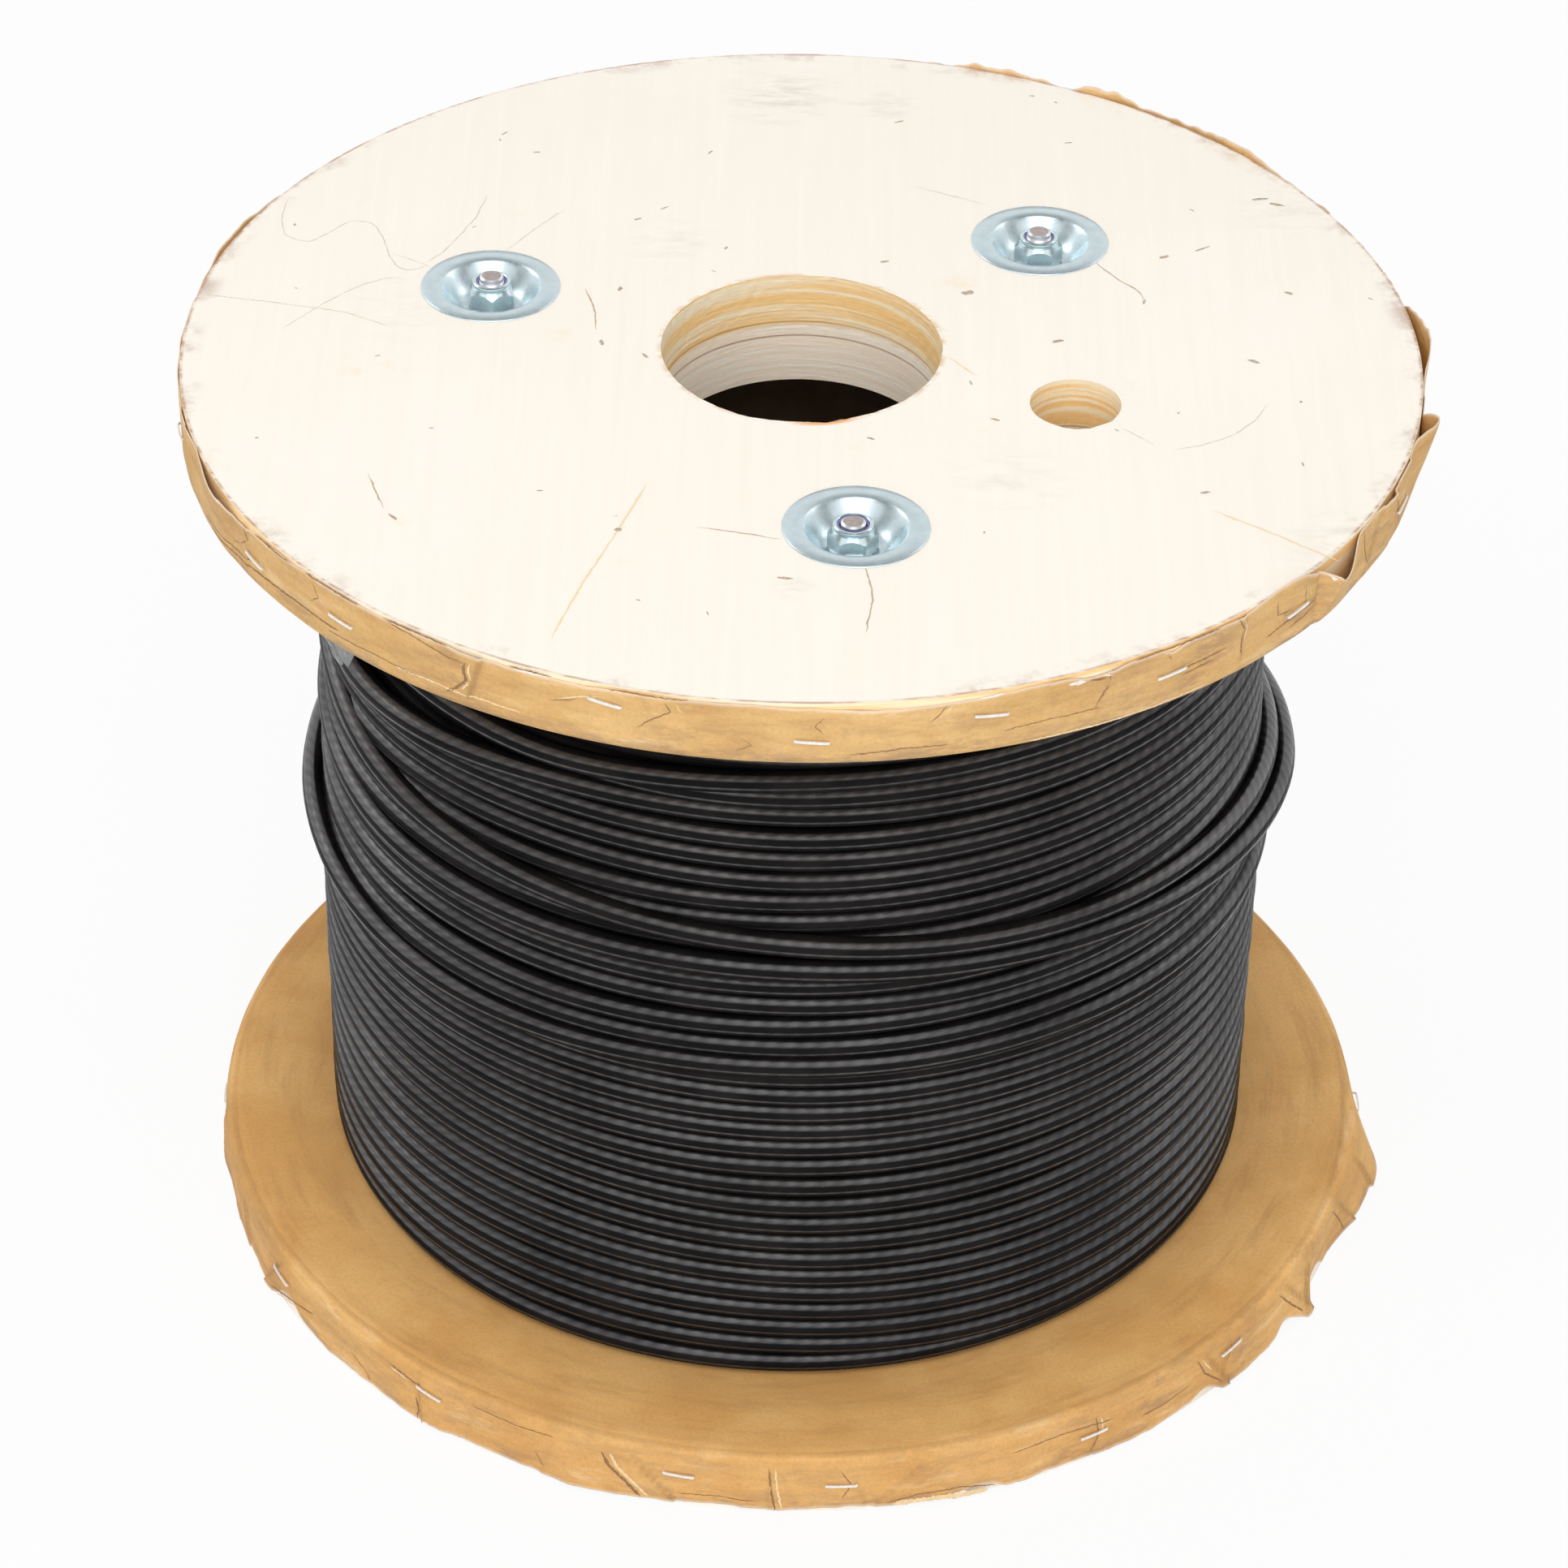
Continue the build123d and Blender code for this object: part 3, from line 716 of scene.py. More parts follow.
# Height of each turn of the outer layer at bearings -60, -30, 0, 30 and 60,
# from the top turn down. The rope falls to the right as it goes round.
TURN_BEARINGS = (-60, -30, 0, 30, 60)
TURN_HEIGHTS = (
    (274.8, 274.6, 274.2, 273.6, 273.0), (268.0, 267.6, 267.0, 266.6, 266.2),
    (260.6, 260.2, 259.8, 259.4, 259.0), (253.0, 252.4, 252.0, 251.6, 251.2),
    (243.0, 238.6, 243.4, 244.2, 244.0), (235.5, 236.5, 237.6, 237.7, 237.6),
    (225.0, 231.8, 231.1, 230.9, 231.0), (219.0, 224.1, 222.5, 223.0, 223.4),
    (214.0, 216.8, 215.1, 215.7, 216.2), (206.5, 209.3, 207.4, 207.9, 208.6),
    (199.6, 200.3, 200.2, 200.6, 201.2), (192.0, 193.3, 193.0, 193.2, 194.2),
    (184.8, 185.6, 185.3, 185.7, 186.6), (177.4, 178.2, 178.0, 178.0, 178.6),
    (170.6, 171.0, 170.4, 170.2, 170.6), (163.4, 164.2, 163.7, 163.0, 162.6),
    (154.2, 155.0, 156.0, 157.4, 155.2), (145.8, 147.6, 148.6, 149.0, 145.8),
    (138.2, 138.4, 137.6, 137.0, 133.6), (131.0, 131.9, 131.0, 130.1, 127.0),
    (123.6, 125.0, 124.3, 123.4, 120.9), (119.0, 118.5, 117.4, 116.7, 114.3),
    (113.0, 111.8, 110.9, 110.0, 108.3), (105.9, 104.9, 103.6, 102.9, 101.2),
    (99.6, 98.3, 95.7, 95.2, 94.0), (92.3, 91.6, 87.9, 87.6, 86.6),
    (84.6, 84.7, 80.7, 79.9, 79.1), (76.9, 77.5, 73.6, 72.3, 71.7),
    (68.9, 70.1, 66.8, 65.0, 64.3), (61.4, 62.7, 60.2, 57.6, 56.9),
    (53.8, 55.3, 53.6, 50.3, 49.7), (46.3, 48.0, 46.8, 43.2, 42.1),
    (38.8, 40.7, 39.9, 36.3, 35.2), (31.4, 33.2, 32.6, 29.3, 28.4), (25.6, 25.4, 25.2, 25.2, 25.2),
)
# Radius at which turns lie, against height: the lower half is wound fuller.
LAYER_RADIUS = ((0, 145.2), (134, 145.2), (160, 144.3), (178, 142.8), (200, 142.2), (300, 142.2))

# Loose turns that ride over the outer layer: bearing, height and radius.
LOOSE_TURN_HIGH = (
    (-232, 241, 138.5), (-210, 239, 142.5), (-180, 234, 146), (-150, 228, 147), (-120, 221, 145.6),
    (-100, 217.5, 144.4), (-83, 213, 144.2), (-70, 208.0, 145.6), (-60, 202.8, 147),
    (-50, 199.4, 147.8), (-40, 197, 148), (-30, 194.8, 148), (-15, 191.7, 148), (0, 188.9, 148),
    (15, 185.3, 148), (30, 182.2, 148), (40, 180.2, 148), (50, 178.6, 147.8), (60, 177, 147.8),
    (70, 174.5, 147.6), (83, 170, 147.6), (100, 165.5, 147.8), (130, 161.5, 148.4), (180, 157.5, 148.4),
    (230, 154.5, 149.4), (260, 152, 151.2), (277, 149, 151.8), (290, 145.6, 151.4), (300, 142.8, 150.4),
    (310, 140.9, 149), (320, 140.2, 147.8), (330, 141.0, 147.2), (345, 142.4, 146.8), (360, 142.8, 146.6),
    (390, 142.6, 146.4), (420, 140.0, 146.4), (443, 138.6, 146.6), (470, 139, 146.2), (500, 141, 144),
    (520, 141.5, 140), (535, 141.5, 137.6),
)
LOOSE_TURN_LOW = (
    (-175, 196, 138), (-150, 193, 142), (-125, 190, 144.8), (-100, 186.8, 145.2),
    (-83, 184.5, 145.4), (-70, 182.6, 146.4), (-60, 181, 147.4), (-50, 180.4, 148), (-30, 180.2, 148),
    (-15, 180.4, 148), (0, 179.8, 148), (10, 178.4, 148), (20, 176.6, 148), (30, 174.4, 148),
    (40, 171.6, 148), (50, 168.6, 148.4), (60, 166.2, 149.4), (70, 164.4, 151.4), (83, 162, 153.5),
    (100, 159.6, 153.2), (125, 155.5, 150.6), (150, 151.5, 147), (170, 149, 142.5), (185, 148, 138.2),
)


def smoothed(values, width):
    """Running mean with bell-shaped weights; the ends keep their values."""
    weights = np.exp(-np.linspace(-2, 2, 2 * width + 1) ** 2)
    padded = np.r_[[values[0]] * width, values, [values[-1]] * width]
    return np.convolve(padded, weights / weights.sum(), mode="valid")


def rope(name, bearings, heights, radii, sides, finish):
    """A rope along a path round the drum, with its length and girth as UV."""
    centre = polar(radii, bearings, heights)
    ahead = np.gradient(centre, axis=0)
    ahead /= np.linalg.norm(ahead, axis=1)[:, None]
    outward = centre * (1, 1, 0)
    outward /= np.linalg.norm(outward, axis=1)[:, None]
    upward = np.cross(outward, ahead)
    upward /= np.linalg.norm(upward, axis=1)[:, None]
    outward = np.cross(ahead, upward)
    girth = np.arange(sides) * 2 * math.pi / sides
    rings = centre[:, None] + ROPE_RADIUS * (
        np.cos(girth)[None, :, None] * outward[:, None] + np.sin(girth)[None, :, None] * upward[:, None])
    length = np.r_[0, np.cumsum(np.linalg.norm(np.diff(centre, axis=0), axis=1))] * MM
    count = len(centre)
    faces = grid_faces(count, sides)
    r, c = np.divmod(np.arange((count - 1) * sides), sides)
    u0, u1, v0, v1 = length[r], length[r + 1], c / sides, (c + 1) / sides
    uv = np.stack([u0, v0, u0, v1, u1, v1, u1, v0], -1)
    faces += [tuple(range(sides))[::-1], tuple((count - 1) * sides + i for i in range(sides))]
    uv = np.r_[uv.ravel(), np.zeros(4 * sides)]
    return make_piece(name, rings, faces, finish, uv=uv)


def outer_layer(step=2.0):
    """The neat turns of the outer layer as one rope from the top turn to the bottom one."""
    along, heights = [], []
    for number, row in enumerate(TURN_HEIGHTS):
        along += [360 * number + bearing for bearing in TURN_BEARINGS]
        heights += row
    path = np.arange(-150, along[-1] + 130, step)
    height = smoothed(np.interp(path, along, heights), 7)
    radius = np.interp(height, *zip(*LAYER_RADIUS))
    number, bearing = path / 360, path % 360
    radius += 0.25 * ripple(bearing, number, 31, (1, 5), 2.4)
    height += 0.12 * ripple(bearing, number, 32, (2, 8), 3.1)
    turn = np.round(number)
    radius += np.where(turn == 6, 3.6 * bump_at(path, 360 * 6 - 52, 42), 0)
    radius += np.where(turn == 4, 0.6, 0) * bump_at(path, 360 * 4 - 30, 40)
    radius -= np.where(turn == 5, 3.8 * bump_at(path, 360 * 5 - 45, 48), 0)
    for end in (path[0], path[-1]):
        radius -= 6 * np.exp(-((path - end) / 24) ** 2)
    height = np.clip(height, 25.15, 274.85)
    radius -= np.sin(np.radians(path))
    return path, height, radius


path, height, radius = outer_layer()
rope_turns = rope("rope_turns", path, height, radius, 12, ROPE)
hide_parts("rope_winding")
rope_pieces = [rope_turns]
for name, knots in (("loose_turn_high", LOOSE_TURN_HIGH), ("loose_turn_low", LOOSE_TURN_LOW)):
    at, up, out = np.array(knots, float).T
    fine = np.arange(at[0], at[-1], 2.0)
    rope_pieces.append(rope(name, fine, smoothed(np.interp(fine, at, up), 6),
                            smoothed(np.interp(fine, at, out), 6), 14, ROPE))


def tape_scrap():
    """A crumpled scrap of clear tape left on the loose turns at the upper left."""
    dice = np.random.default_rng(17)
    upper = np.array([(-72.0, 225.6), (-69.4, 227.4), (-67.0, 229.6), (-65.0, 233.6), (-62.8, 236.4),
                      (-60.8, 238.6)])
    lower = np.array([(-71.6, 224.9), (-69.0, 226.4), (-67.0, 225.2), (-65.2, 225.4), (-63.2, 227.6),
                      (-60.5, 237.6)])
    points = []
    for share in np.linspace(0, 1, 5):
        for bearing, height in upper * (1 - share) + lower * share:
            points.append(polar(149.3 + dice.uniform(-0.5, 0.9), bearing,
                                height + dice.uniform(-0.25, 0.25)))
    return make_piece("tape_scrap", points, grid_faces(5, 6, closed_columns=False), TAPE, smooth=False)


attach(tape_scrap(), "root")

# The layer under the outer one, seen in the gaps between its turns.
INNER_ENDS = (21.9, 278.1)
ridges = []
for turn in range(36):
    for share in (0.0, 0.2, 0.4, 0.6, 0.8):
        low = INNER_ENDS[0] + 7.11 * (turn + share)
        ridges.append((137.6 + 3.2 * math.sin(math.pi * share) ** 0.6 - 1.2 * (share == 0), low))
outline = [(BARREL_RADIUS, INNER_ENDS[0])] + ridges
outline += [(136.4, INNER_ENDS[1]), (BARREL_RADIUS, INNER_ENDS[1])]
rope_pieces.append(lathe("inner_turns", outline, ROPE, 180))
for piece in rope_pieces:
    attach(piece, "root")


# ---- Paper ----

def paper_sheet(name, rows, marks, finish, thickness, flip):
    """A sheet of paper that closes round the drum, given row by row of points."""
    count = rows.shape[1]
    faces = grid_faces(len(rows), count)
    if flip:
        faces = [face[::-1] for face in faces]
    piece = make_piece(name, rows, faces, finish, marks=marks)
    sheet = piece.modifiers.new("thickness", "SOLIDIFY")
    sheet.thickness = thickness * MM
    sheet.offset = -1.0
    return settle(piece)


def pleats(bearings, height, folds):
    """Sawtooth folds: each starts as a step at its bearing and runs out over its width.

    Gives how far the paper stands out and how near each point is to a step."""
    lift = np.zeros(np.broadcast(bearings, height).shape)
    crease = np.zeros_like(lift)
    for bearing, width, depth, lean in folds:
        away = (bearings - bearing - lean * height + 180) % 360 - 180
        side = math.copysign(1, width)
        inside = (away * side >= 0) & (away * side < abs(width))
        lift += np.where(inside, depth * (1 - away * side / abs(width)) ** 1.5, 0)
        crease = np.maximum(crease, np.exp(-(away / 0.3) ** 2) * min(1, depth / 1.5))
    return lift, crease


def scattered_folds(seed, count):
    """Small chance folds between the ones that show most."""
    dice = np.random.default_rng(seed)
    folds = []
    for k in range(count):
        folds.append((360 * (k + dice.uniform(0, 1)) / count,
                      dice.choice([-1, 1]) * dice.uniform(4, 11),
                      dice.uniform(0.06, 0.28), dice.uniform(-0.18, 0.18)))
    return folds


def turned_paper(name, level, inner_rows, flares, folds, tears, finish, up, seed):
    """Paper on a flange's inner face, turned over its rim; up is 1 or -1, the way it turns.

    A flare is an amount and where it is, as for bump_at. Also gives the function that
    tells the paper's outer radius at a bearing and height."""
    bearings = np.arange(0, 360, 0.25)[None, :]
    rows, crease, torn, outside = [], [], [], []
    for radius in inner_rows:
        wave = 0.10 * ripple(bearings, radius, seed, (3, 26), 0.22)
        rise = np.where(radius > 150, np.abs(wave), np.abs(wave) * 0.3)
        rows.append(polar(radius, bearings, level - up * rise)[0])
        crease.append(np.zeros(bearings.shape[1]))
        torn.append(np.zeros(bearings.shape[1]))
    reach = 20.5 + tears(bearings)
    for share in RIM_SHARES:
        height = 2.6 + (reach - 2.6) * share
        stand = bumps(bearings, flares)
        stand = stand * np.clip((height - 1) / 14, 0, 1.3) ** 0.8
        lift, line = pleats(bearings, height, folds)
        fade = min(1.0, share * 3 + 0.15)
        out = RIM_RADIUS + 0.42 + stand + lift * fade
        out = out + (0.05 + 0.10 * share) * ripple(bearings, height * 0.25, seed + 1, (12, 70), 1.0)
        out = np.maximum(out, RIM_RADIUS + 0.36)
        if share == 0:
            rows.append(polar(RIM_RADIUS - 1.1 + 0 * out, bearings, level + up * 0.75)[0])
            crease.append(np.zeros(bearings.shape[1]))
            torn.append(np.zeros(bearings.shape[1]))
        rows.append(polar(out, bearings, level + up * height)[0])
        outside.append(out[0])
        crease.append((line * fade)[0])
        torn.append(np.full(bearings.shape[1], max(0.0, (share - 0.93) / 0.07)))

    def radius_at(bearing, height):
        column, part = divmod((bearing % 360) / 0.25, 1)
        share = (up * (height - level) - 2.6) / (reach[0, int(column)] - 2.6)
        columns = [np.array(outside)[:, int(column + k) % 1440] for k in (0, 1)]
        near = [np.interp(share, RIM_SHARES, radii) for radii in columns]
        return near[0] * (1 - part) + near[1] * part

    marks = {"crease": np.array(crease), "torn": np.array(torn)}
    return paper_sheet(name, np.array(rows), marks, finish, 0.32, up < 0), radius_at


def drawn(name, radius_at, lines, finish, seed, lift=0.05):
    """Fine lines on a turned edge: each has a width and a run of bearing and height."""
    dice = np.random.default_rng(seed)
    points, faces = [], []
    for width, *knots in lines:
        knots = np.array(knots, float) * (math.radians(RIM_RADIUS), 1)
        steps = np.hypot(*np.diff(knots, axis=0).T)
        along = np.r_[0, np.cumsum(steps)]
        fine = np.linspace(0, along[-1], max(6, int(along[-1] / 0.7)))
        path = np.stack([np.interp(fine, along, knots[:, k]) for k in (0, 1)], -1)
        path[1:-1] += dice.normal(0, 0.09, path[1:-1].shape)
        side = np.gradient(path, axis=0)
        side = np.stack([-side[:, 1], side[:, 0]], -1) / np.linalg.norm(side, axis=1)[:, None]
        taper = np.minimum(1, np.minimum(fine, fine[-1] - fine) / 2.5 + 0.2)
        half = (0.62 * width * taper * dice.uniform(0.6, 1.3, len(fine)))[:, None]
        start = len(points)
        for edge in zip(path + side * half, path - side * half):
            for arc, height in edge:
                bearing = arc / math.radians(RIM_RADIUS)
                points.append(polar(radius_at(bearing, height) + lift, bearing, height))
        faces += [(start + 2 * k, start + 2 * k + 2, start + 2 * k + 3, start + 2 * k + 1)
                  for k in range(len(fine) - 1)]
    piece = make_piece(name, points, faces, finish, smooth=False)
    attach(piece, "root")


# Places where the turned edge stands higher, and where it is torn away: how much, in
# millimetres, and where and how wide, as for bump_at.
TOP_LOBES = (
    (3.0, 132, 11), (3.4, 149, 7, 5), (2.4, 160, 9), (1.8, 94, 12, 8), (1.2, 76, 8),
    (3.1, 48.4, 7, 4.4), (1.1, -69, 9, 5), (0.8, 66.3, 4, 0.9),
)
TOP_RIPS = (
    (1.7, 9, 13), (1.6, 26.5, 3.2), (0.6, -22, 12), (2.0, -60, 2.4, 10), (2.8, 53.4, 1.4, 6),
    (2.5, 81.6, 1.4), (1.6, 34.0, 1.6), (1.0, 73, 4),
)
LOWER_RIPS = ((5.5, -58, 3.5), (3.4, 58, 2.6), (4.5, 66, 3), (3.0, -84, 3), (2.6, 45, 2.4), (2.5, 19, 4))


def bumps(bearings, places):
    """Humps added up; each place gives its amount and then where it is."""
    return sum(amount * bump_at(bearings, *where) for amount, *where in places)


def top_tears(bearings):
    """How far the turned edge stands above or below its usual height round the top rim."""
    jag = 0.2 * ripple(bearings, 0, 41, (20, 90), 0) + 0.12 * ripple(bearings, 0, 42, (90, 220), 0)
    rough = bumps(bearings, ((1.0, 152, 44), (0.8, 92, 34), (0.3, 235, 40)))
    return jag * (0.7 + 2.2 * rough) + bumps(bearings, TOP_LOBES) - bumps(bearings, TOP_RIPS) - 0.2


def lower_tears(bearings):
    """The same for the lower rim, where the edge nearly reaches the floor."""
    jag = 0.3 * ripple(bearings, 0, 51, (12, 60), 0) + 0.2 * ripple(bearings, 0, 52, (60, 200), 0)
    return np.minimum(jag - 0.7 - bumps(bearings, LOWER_RIPS), 0.1)


RIM_SHARES = (0, 0.08, 0.18, 0.3, 0.42, 0.54, 0.66, 0.78, 0.87, 0.93, 0.97, 1.0)
top_folds = [
    (-29.4, -5, 1.1, 0.09), (-10.6, 6, 0.35, -0.12), (25.7, 5, 0.5, 0.1), (41.7, -6, 0.5, 0.02),
    (-57.5, -5, 0.5, 0.0), (60, 8, 0.7, 0.2), (70, -7, 0.7, 0.15), (3.0, 7, 0.25, 0.1),
    (-76, 8, 0.6, -0.1), (98, -9, 0.9, 0.1), (118, 9, 0.8, 0.0), (200, 9, 0.9, 0.1),
] + scattered_folds(61, 30)
top_flares = [
    (2.0, -63.0, 8, 4.0), (1.4, 51.0, 6, 1.2), (6.0, 52.4, 0.9, 8), (1.3, 66.4, 4, 1.0),
    (4.2, 79.8, 5.5, 1.4),
    (2.6, 93, 8, 9), (2.0, 142, 11), (1.6, 250, 11),
]
top_paper, top_edge = turned_paper(
    "top_paper", UNDER_FACE - 0.15, (121.6, 130, 140, 150, 160, 168, 176, 181.5),
    top_flares, top_folds, top_tears, TOP_KRAFT, 1, 71)
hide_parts("top_paper_liner")
# Painted shade in the folds of the top paper.
drawn("top_creases", top_edge, [
    (0.75, (-29.1, 296.2), (-29.3, 293.8), (-29.0, 290.6), (-30.0, 287), (-31.2, 283.8)),
    (0.32, (-37.6, 298.6), (-35, 298), (-33, 296.6), (-31, 295.6), (-29.3, 295.8)),
    (0.30, (-11.0, 297.4), (-10.5, 294.6), (-12.2, 291.5), (-13.4, 288)),
    (0.26, (2.4, 295.5), (1.6, 292.6), (2.4, 290)), (0.26, (12.8, 297.2), (12.2, 294.6), (11.4, 292.2)),
    (0.28, (27.6, 297.5), (27.2, 293), (26.2, 287.5)), (0.7, (25.6, 297.0), (26.5, 296.6), (27.1, 296.4)),
    (0.42, (41.2, 299.4), (41.9, 295), (41.6, 290.5), (41.8, 286)), (0.24, (33.4, 297.6), (33.8, 294.6)),
    (0.34, (34.4, 290.2), (37, 290.9), (39.8, 291.6)), (0.3, (35.2, 288.4), (38.6, 289.6)),
    (0.26, (46.2, 297.6), (46.3, 292.8), (47.9, 292.4)), (0.26, (49.6, 297.4), (49.8, 293.6)),
    (0.40, (45, 287.2), (48.5, 289.6), (51.5, 291.4)), (0.32, (48, 286), (51, 288.8)),
    (0.5, (-66, 281.8), (-61, 284.0), (-55, 285.9), (-50, 287.0), (-43.5, 286.4)),
    (0.34, (-67.4, 283.4), (-62, 285.8), (-57, 287.4)), (0.26, (-45, 284.6), (-39, 285.3), (-34, 284.8)),
    (0.3, (-57.9, 298), (-57.3, 294), (-58.6, 290.4)), (0.22, (-58.6, 290.4), (-60.2, 288.6)),
    (0.22, (-47, 297.5), (-46.2, 293.4), (-47.4, 290.5)), (0.2, (-4.6, 288.2), (-3.6, 286), (-5, 283.8)),
    (0.26, (60.2, 298), (60.6, 292), (61.5, 284)), (0.3, (68, 299), (68.6, 293), (69.4, 284)),
    (0.24, (-21.2, 291.2), (-18.8, 293.6)), (0.24, (17.8, 286.2), (22, 287.2), (27, 287.0)),
    (0.3, (4.6, 283.2), (9, 284.4), (13, 284.2)), (0.4, (-56, 298.2), (-53, 298.8), (-50, 298.9)),
    (0.5, (-48, 299.2), (-44, 299.4), (-41, 299.2)), (0.45, (-38, 299.2), (-34.6, 299.5), (-31, 299.1)),
    (0.3, (-25, 299.2), (-21, 299.1)), (0.3, (-16, 299.3), (-9, 299.0)), (0.35, (30, 299.3), (39, 299.3)),
], FOLD_SHADE, 91)
# Painted highlight on the lit side of the folds of the top paper.
drawn("top_ridges", top_edge, [
    (0.5, (-28.6, 296.2), (-28.8, 293.8), (-28.5, 290.6), (-29.5, 287)),
    (0.35, (-20.6, 292.2), (-18.6, 294.6), (-16.6, 296)), (0.4, (13.3, 297.2), (12.7, 294.6)),
    (0.4, (41.7, 298.8), (42.4, 295), (42.1, 290.5)), (0.4, (-56.9, 297.6), (-56.4, 294)),
    (0.45, (-36.8, 284.8), (-30, 285.2), (-24, 284.6)), (0.4, (20, 281.2), (30, 281.4), (38, 281.8)),
    (0.4, (-10, 297.2), (-9.6, 294.8)), (0.35, (50.2, 297), (50.4, 293.6)),
], FOLD_HIGHLIGHT, 92)
drawn("top_torn_bits", top_edge, [
    (1.1, (23.6, 297.4), (25.2, 297.0)), (0.8, (26.9, 297.4), (27.8, 296.8)),
    (0.6, (15.6, 298.0), (17.8, 298.6)),
    (0.9, (-62.6, 299.4), (-61.8, 298.4)), (0.6, (-55.4, 290.2), (-54.6, 289.4)),
    (0.7, (51.9, 299.2), (52.4, 296)),
    (0.5, (-24.6, 298.5), (-21, 298.7)),
], TORN, 93)

lower_folds = [
    (-15.2, -5, 1.0, 0.26), (-0.9, 5, 0.5, -0.03), (6.0, -6, 0.4, 0.1), (-37.3, 6, 0.8, 0.02),
    (14.5, 6, 0.6, -0.3), (31, 6, 0.4, 0.0), (44, -5, 1.1, 0.2), (48.5, 6, 0.7, -0.1), (57, -6, 1.4, 0.25),
    (63, 6, 1.1, -0.15), (71, -6, 1.3, 0.25), (79, 7, 1.2, 0.1), (-58, 6, 0.9, -0.25), (-70, -7, 0.7, 0.1),
    (-84, 7, 0.8, 0.1), (120, -9, 0.9, 0.2), (205, 9, 1.0, 0.1),
] + scattered_folds(62, 34)
lower_flares = [
    (6.6, 82, 13), (1.4, 86, 6), (3.4, 61, 4), (2.0, 52, 10), (2.0, -19, 11), (1.2, 18, 11), (1.0, -38, 8),
    (1.0, -62, 8), (0.9, 36, 6), (1.2, -85, 7), (1.5, 180, 12), (1.2, 230, 10),
]
bottom_paper, bottom_edge = turned_paper(
    "bottom_paper", LOWER_INNER_FACE + 0.15, (121.6, 130, 138, 144, 150, 156, 162, 168, 174, 179, 182.4),
    lower_flares, lower_folds, lower_tears, LOWER_KRAFT, -1, 81)
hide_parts("bottom_paper_liner")
# Painted shade in the folds of the lower paper.
drawn("bottom_creases", bottom_edge, [
    (0.9, (-17.2, 16.4), (-16.4, 12), (-14.8, 7), (-13.4, 1.8)), (0.5, (-1.3, 17.8), (-1.1, 10), (-0.7, 1.0)),
    (0.5, (-41.2, 16.2), (-39, 15.4), (-36.9, 14)), (0.5, (-37.6, 9.8), (-37.3, 5), (-37.4, 1.2)),
    (0.5, (-61.2, 3.2), (-57, 6.4), (-53.2, 9.7)), (0.3, (-31, 17), (-26, 16.2), (-22, 16.8)),
    (0.3, (5.4, 16.5), (6.4, 11), (5.6, 5)), (0.35, (9.8, 2.2), (13, 4.8), (17, 5.0), (20.4, 2.6)),
    (0.3, (22, 13.5), (27, 14.4), (33, 13.2)), (0.4, (31, 16.6), (31.3, 9), (30.6, 3)),
    (0.3, (-10, 4.4), (-6, 5.0), (-2.4, 4.0)), (0.5, (43.6, 17.6), (44.6, 11), (46.8, 4)),
    (0.35, (48.4, 17), (47.6, 11)), (0.5, (56.6, 17), (58.4, 10), (60, 3.8)), (0.4, (62.8, 17), (61.8, 10)),
    (0.4, (70.6, 17), (72.4, 9), (73.4, 3)), (0.3, (-47, 9), (-44.5, 5), (-44, 2)), (0.3, (-24, 9), (-23, 4)),
    (0.4, (-70.2, 16), (-69.4, 8), (-68.4, 3)), (0.3, (36.4, 9), (39.6, 8.2), (42.6, 9.4)),
], FOLD_SHADE, 94)
# Painted highlight on the lit side of the folds of the lower paper.
drawn("bottom_ridges", bottom_edge, [
    (0.8, (-16.4, 16.6), (-15.6, 12), (-14.0, 7), (-12.6, 2)), (0.5, (-0.7, 17.6), (-0.5, 10), (-0.1, 1.2)),
    (1.6, (10.4, 1.6), (14, 2.4), (19.6, 1.4)), (0.5, (-41, 14.9), (-38.6, 14.2)),
    (0.5, (31.6, 16), (31.9, 9)),
    (0.5, (44.2, 17), (45.4, 11)), (0.5, (-60.4, 2.6), (-56.6, 5.5)),
], FOLD_HIGHLIGHT, 95)
drawn("bottom_torn_bits", bottom_edge, [
    (1.0, (16.2, 3.0), (17.8, 2.4)), (0.7, (-37.1, 2.0), (-35.8, 1.5)), (0.9, (57.6, 4.6), (58.6, 3.9)),
    (0.8, (44.4, 4.0), (45.4, 3.2)),
], TORN, 96)
for piece in (top_paper, bottom_paper):
    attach(piece, "root")


# ---- Staples ----

def staple():
    """One staple lying on the paper: its crown along X, its outside towards Z."""
    half, wide, thick = 4.9, 0.42, 0.25
    spine = [(-half, -1.4), (-half, 0.05), (-half + 0.5, 0.3), (-2, 0.42), (2, 0.42), (half - 0.5, 0.3),
             (half, 0.05), (half, -1.4)]
    points = []
    for x, z in spine:
        for dy, dz in ((-wide, -thick), (wide, -thick), (wide, thick), (-wide, thick)):
            points.append((x, dy, z + dz))
    faces = [tuple(reversed(f)) for f in grid_faces(len(spine), 4)] + [(0, 1, 2, 3), (31, 30, 29, 28)]
    return make_piece("staple", points, faces, STAPLE_WIRE, smooth=False)


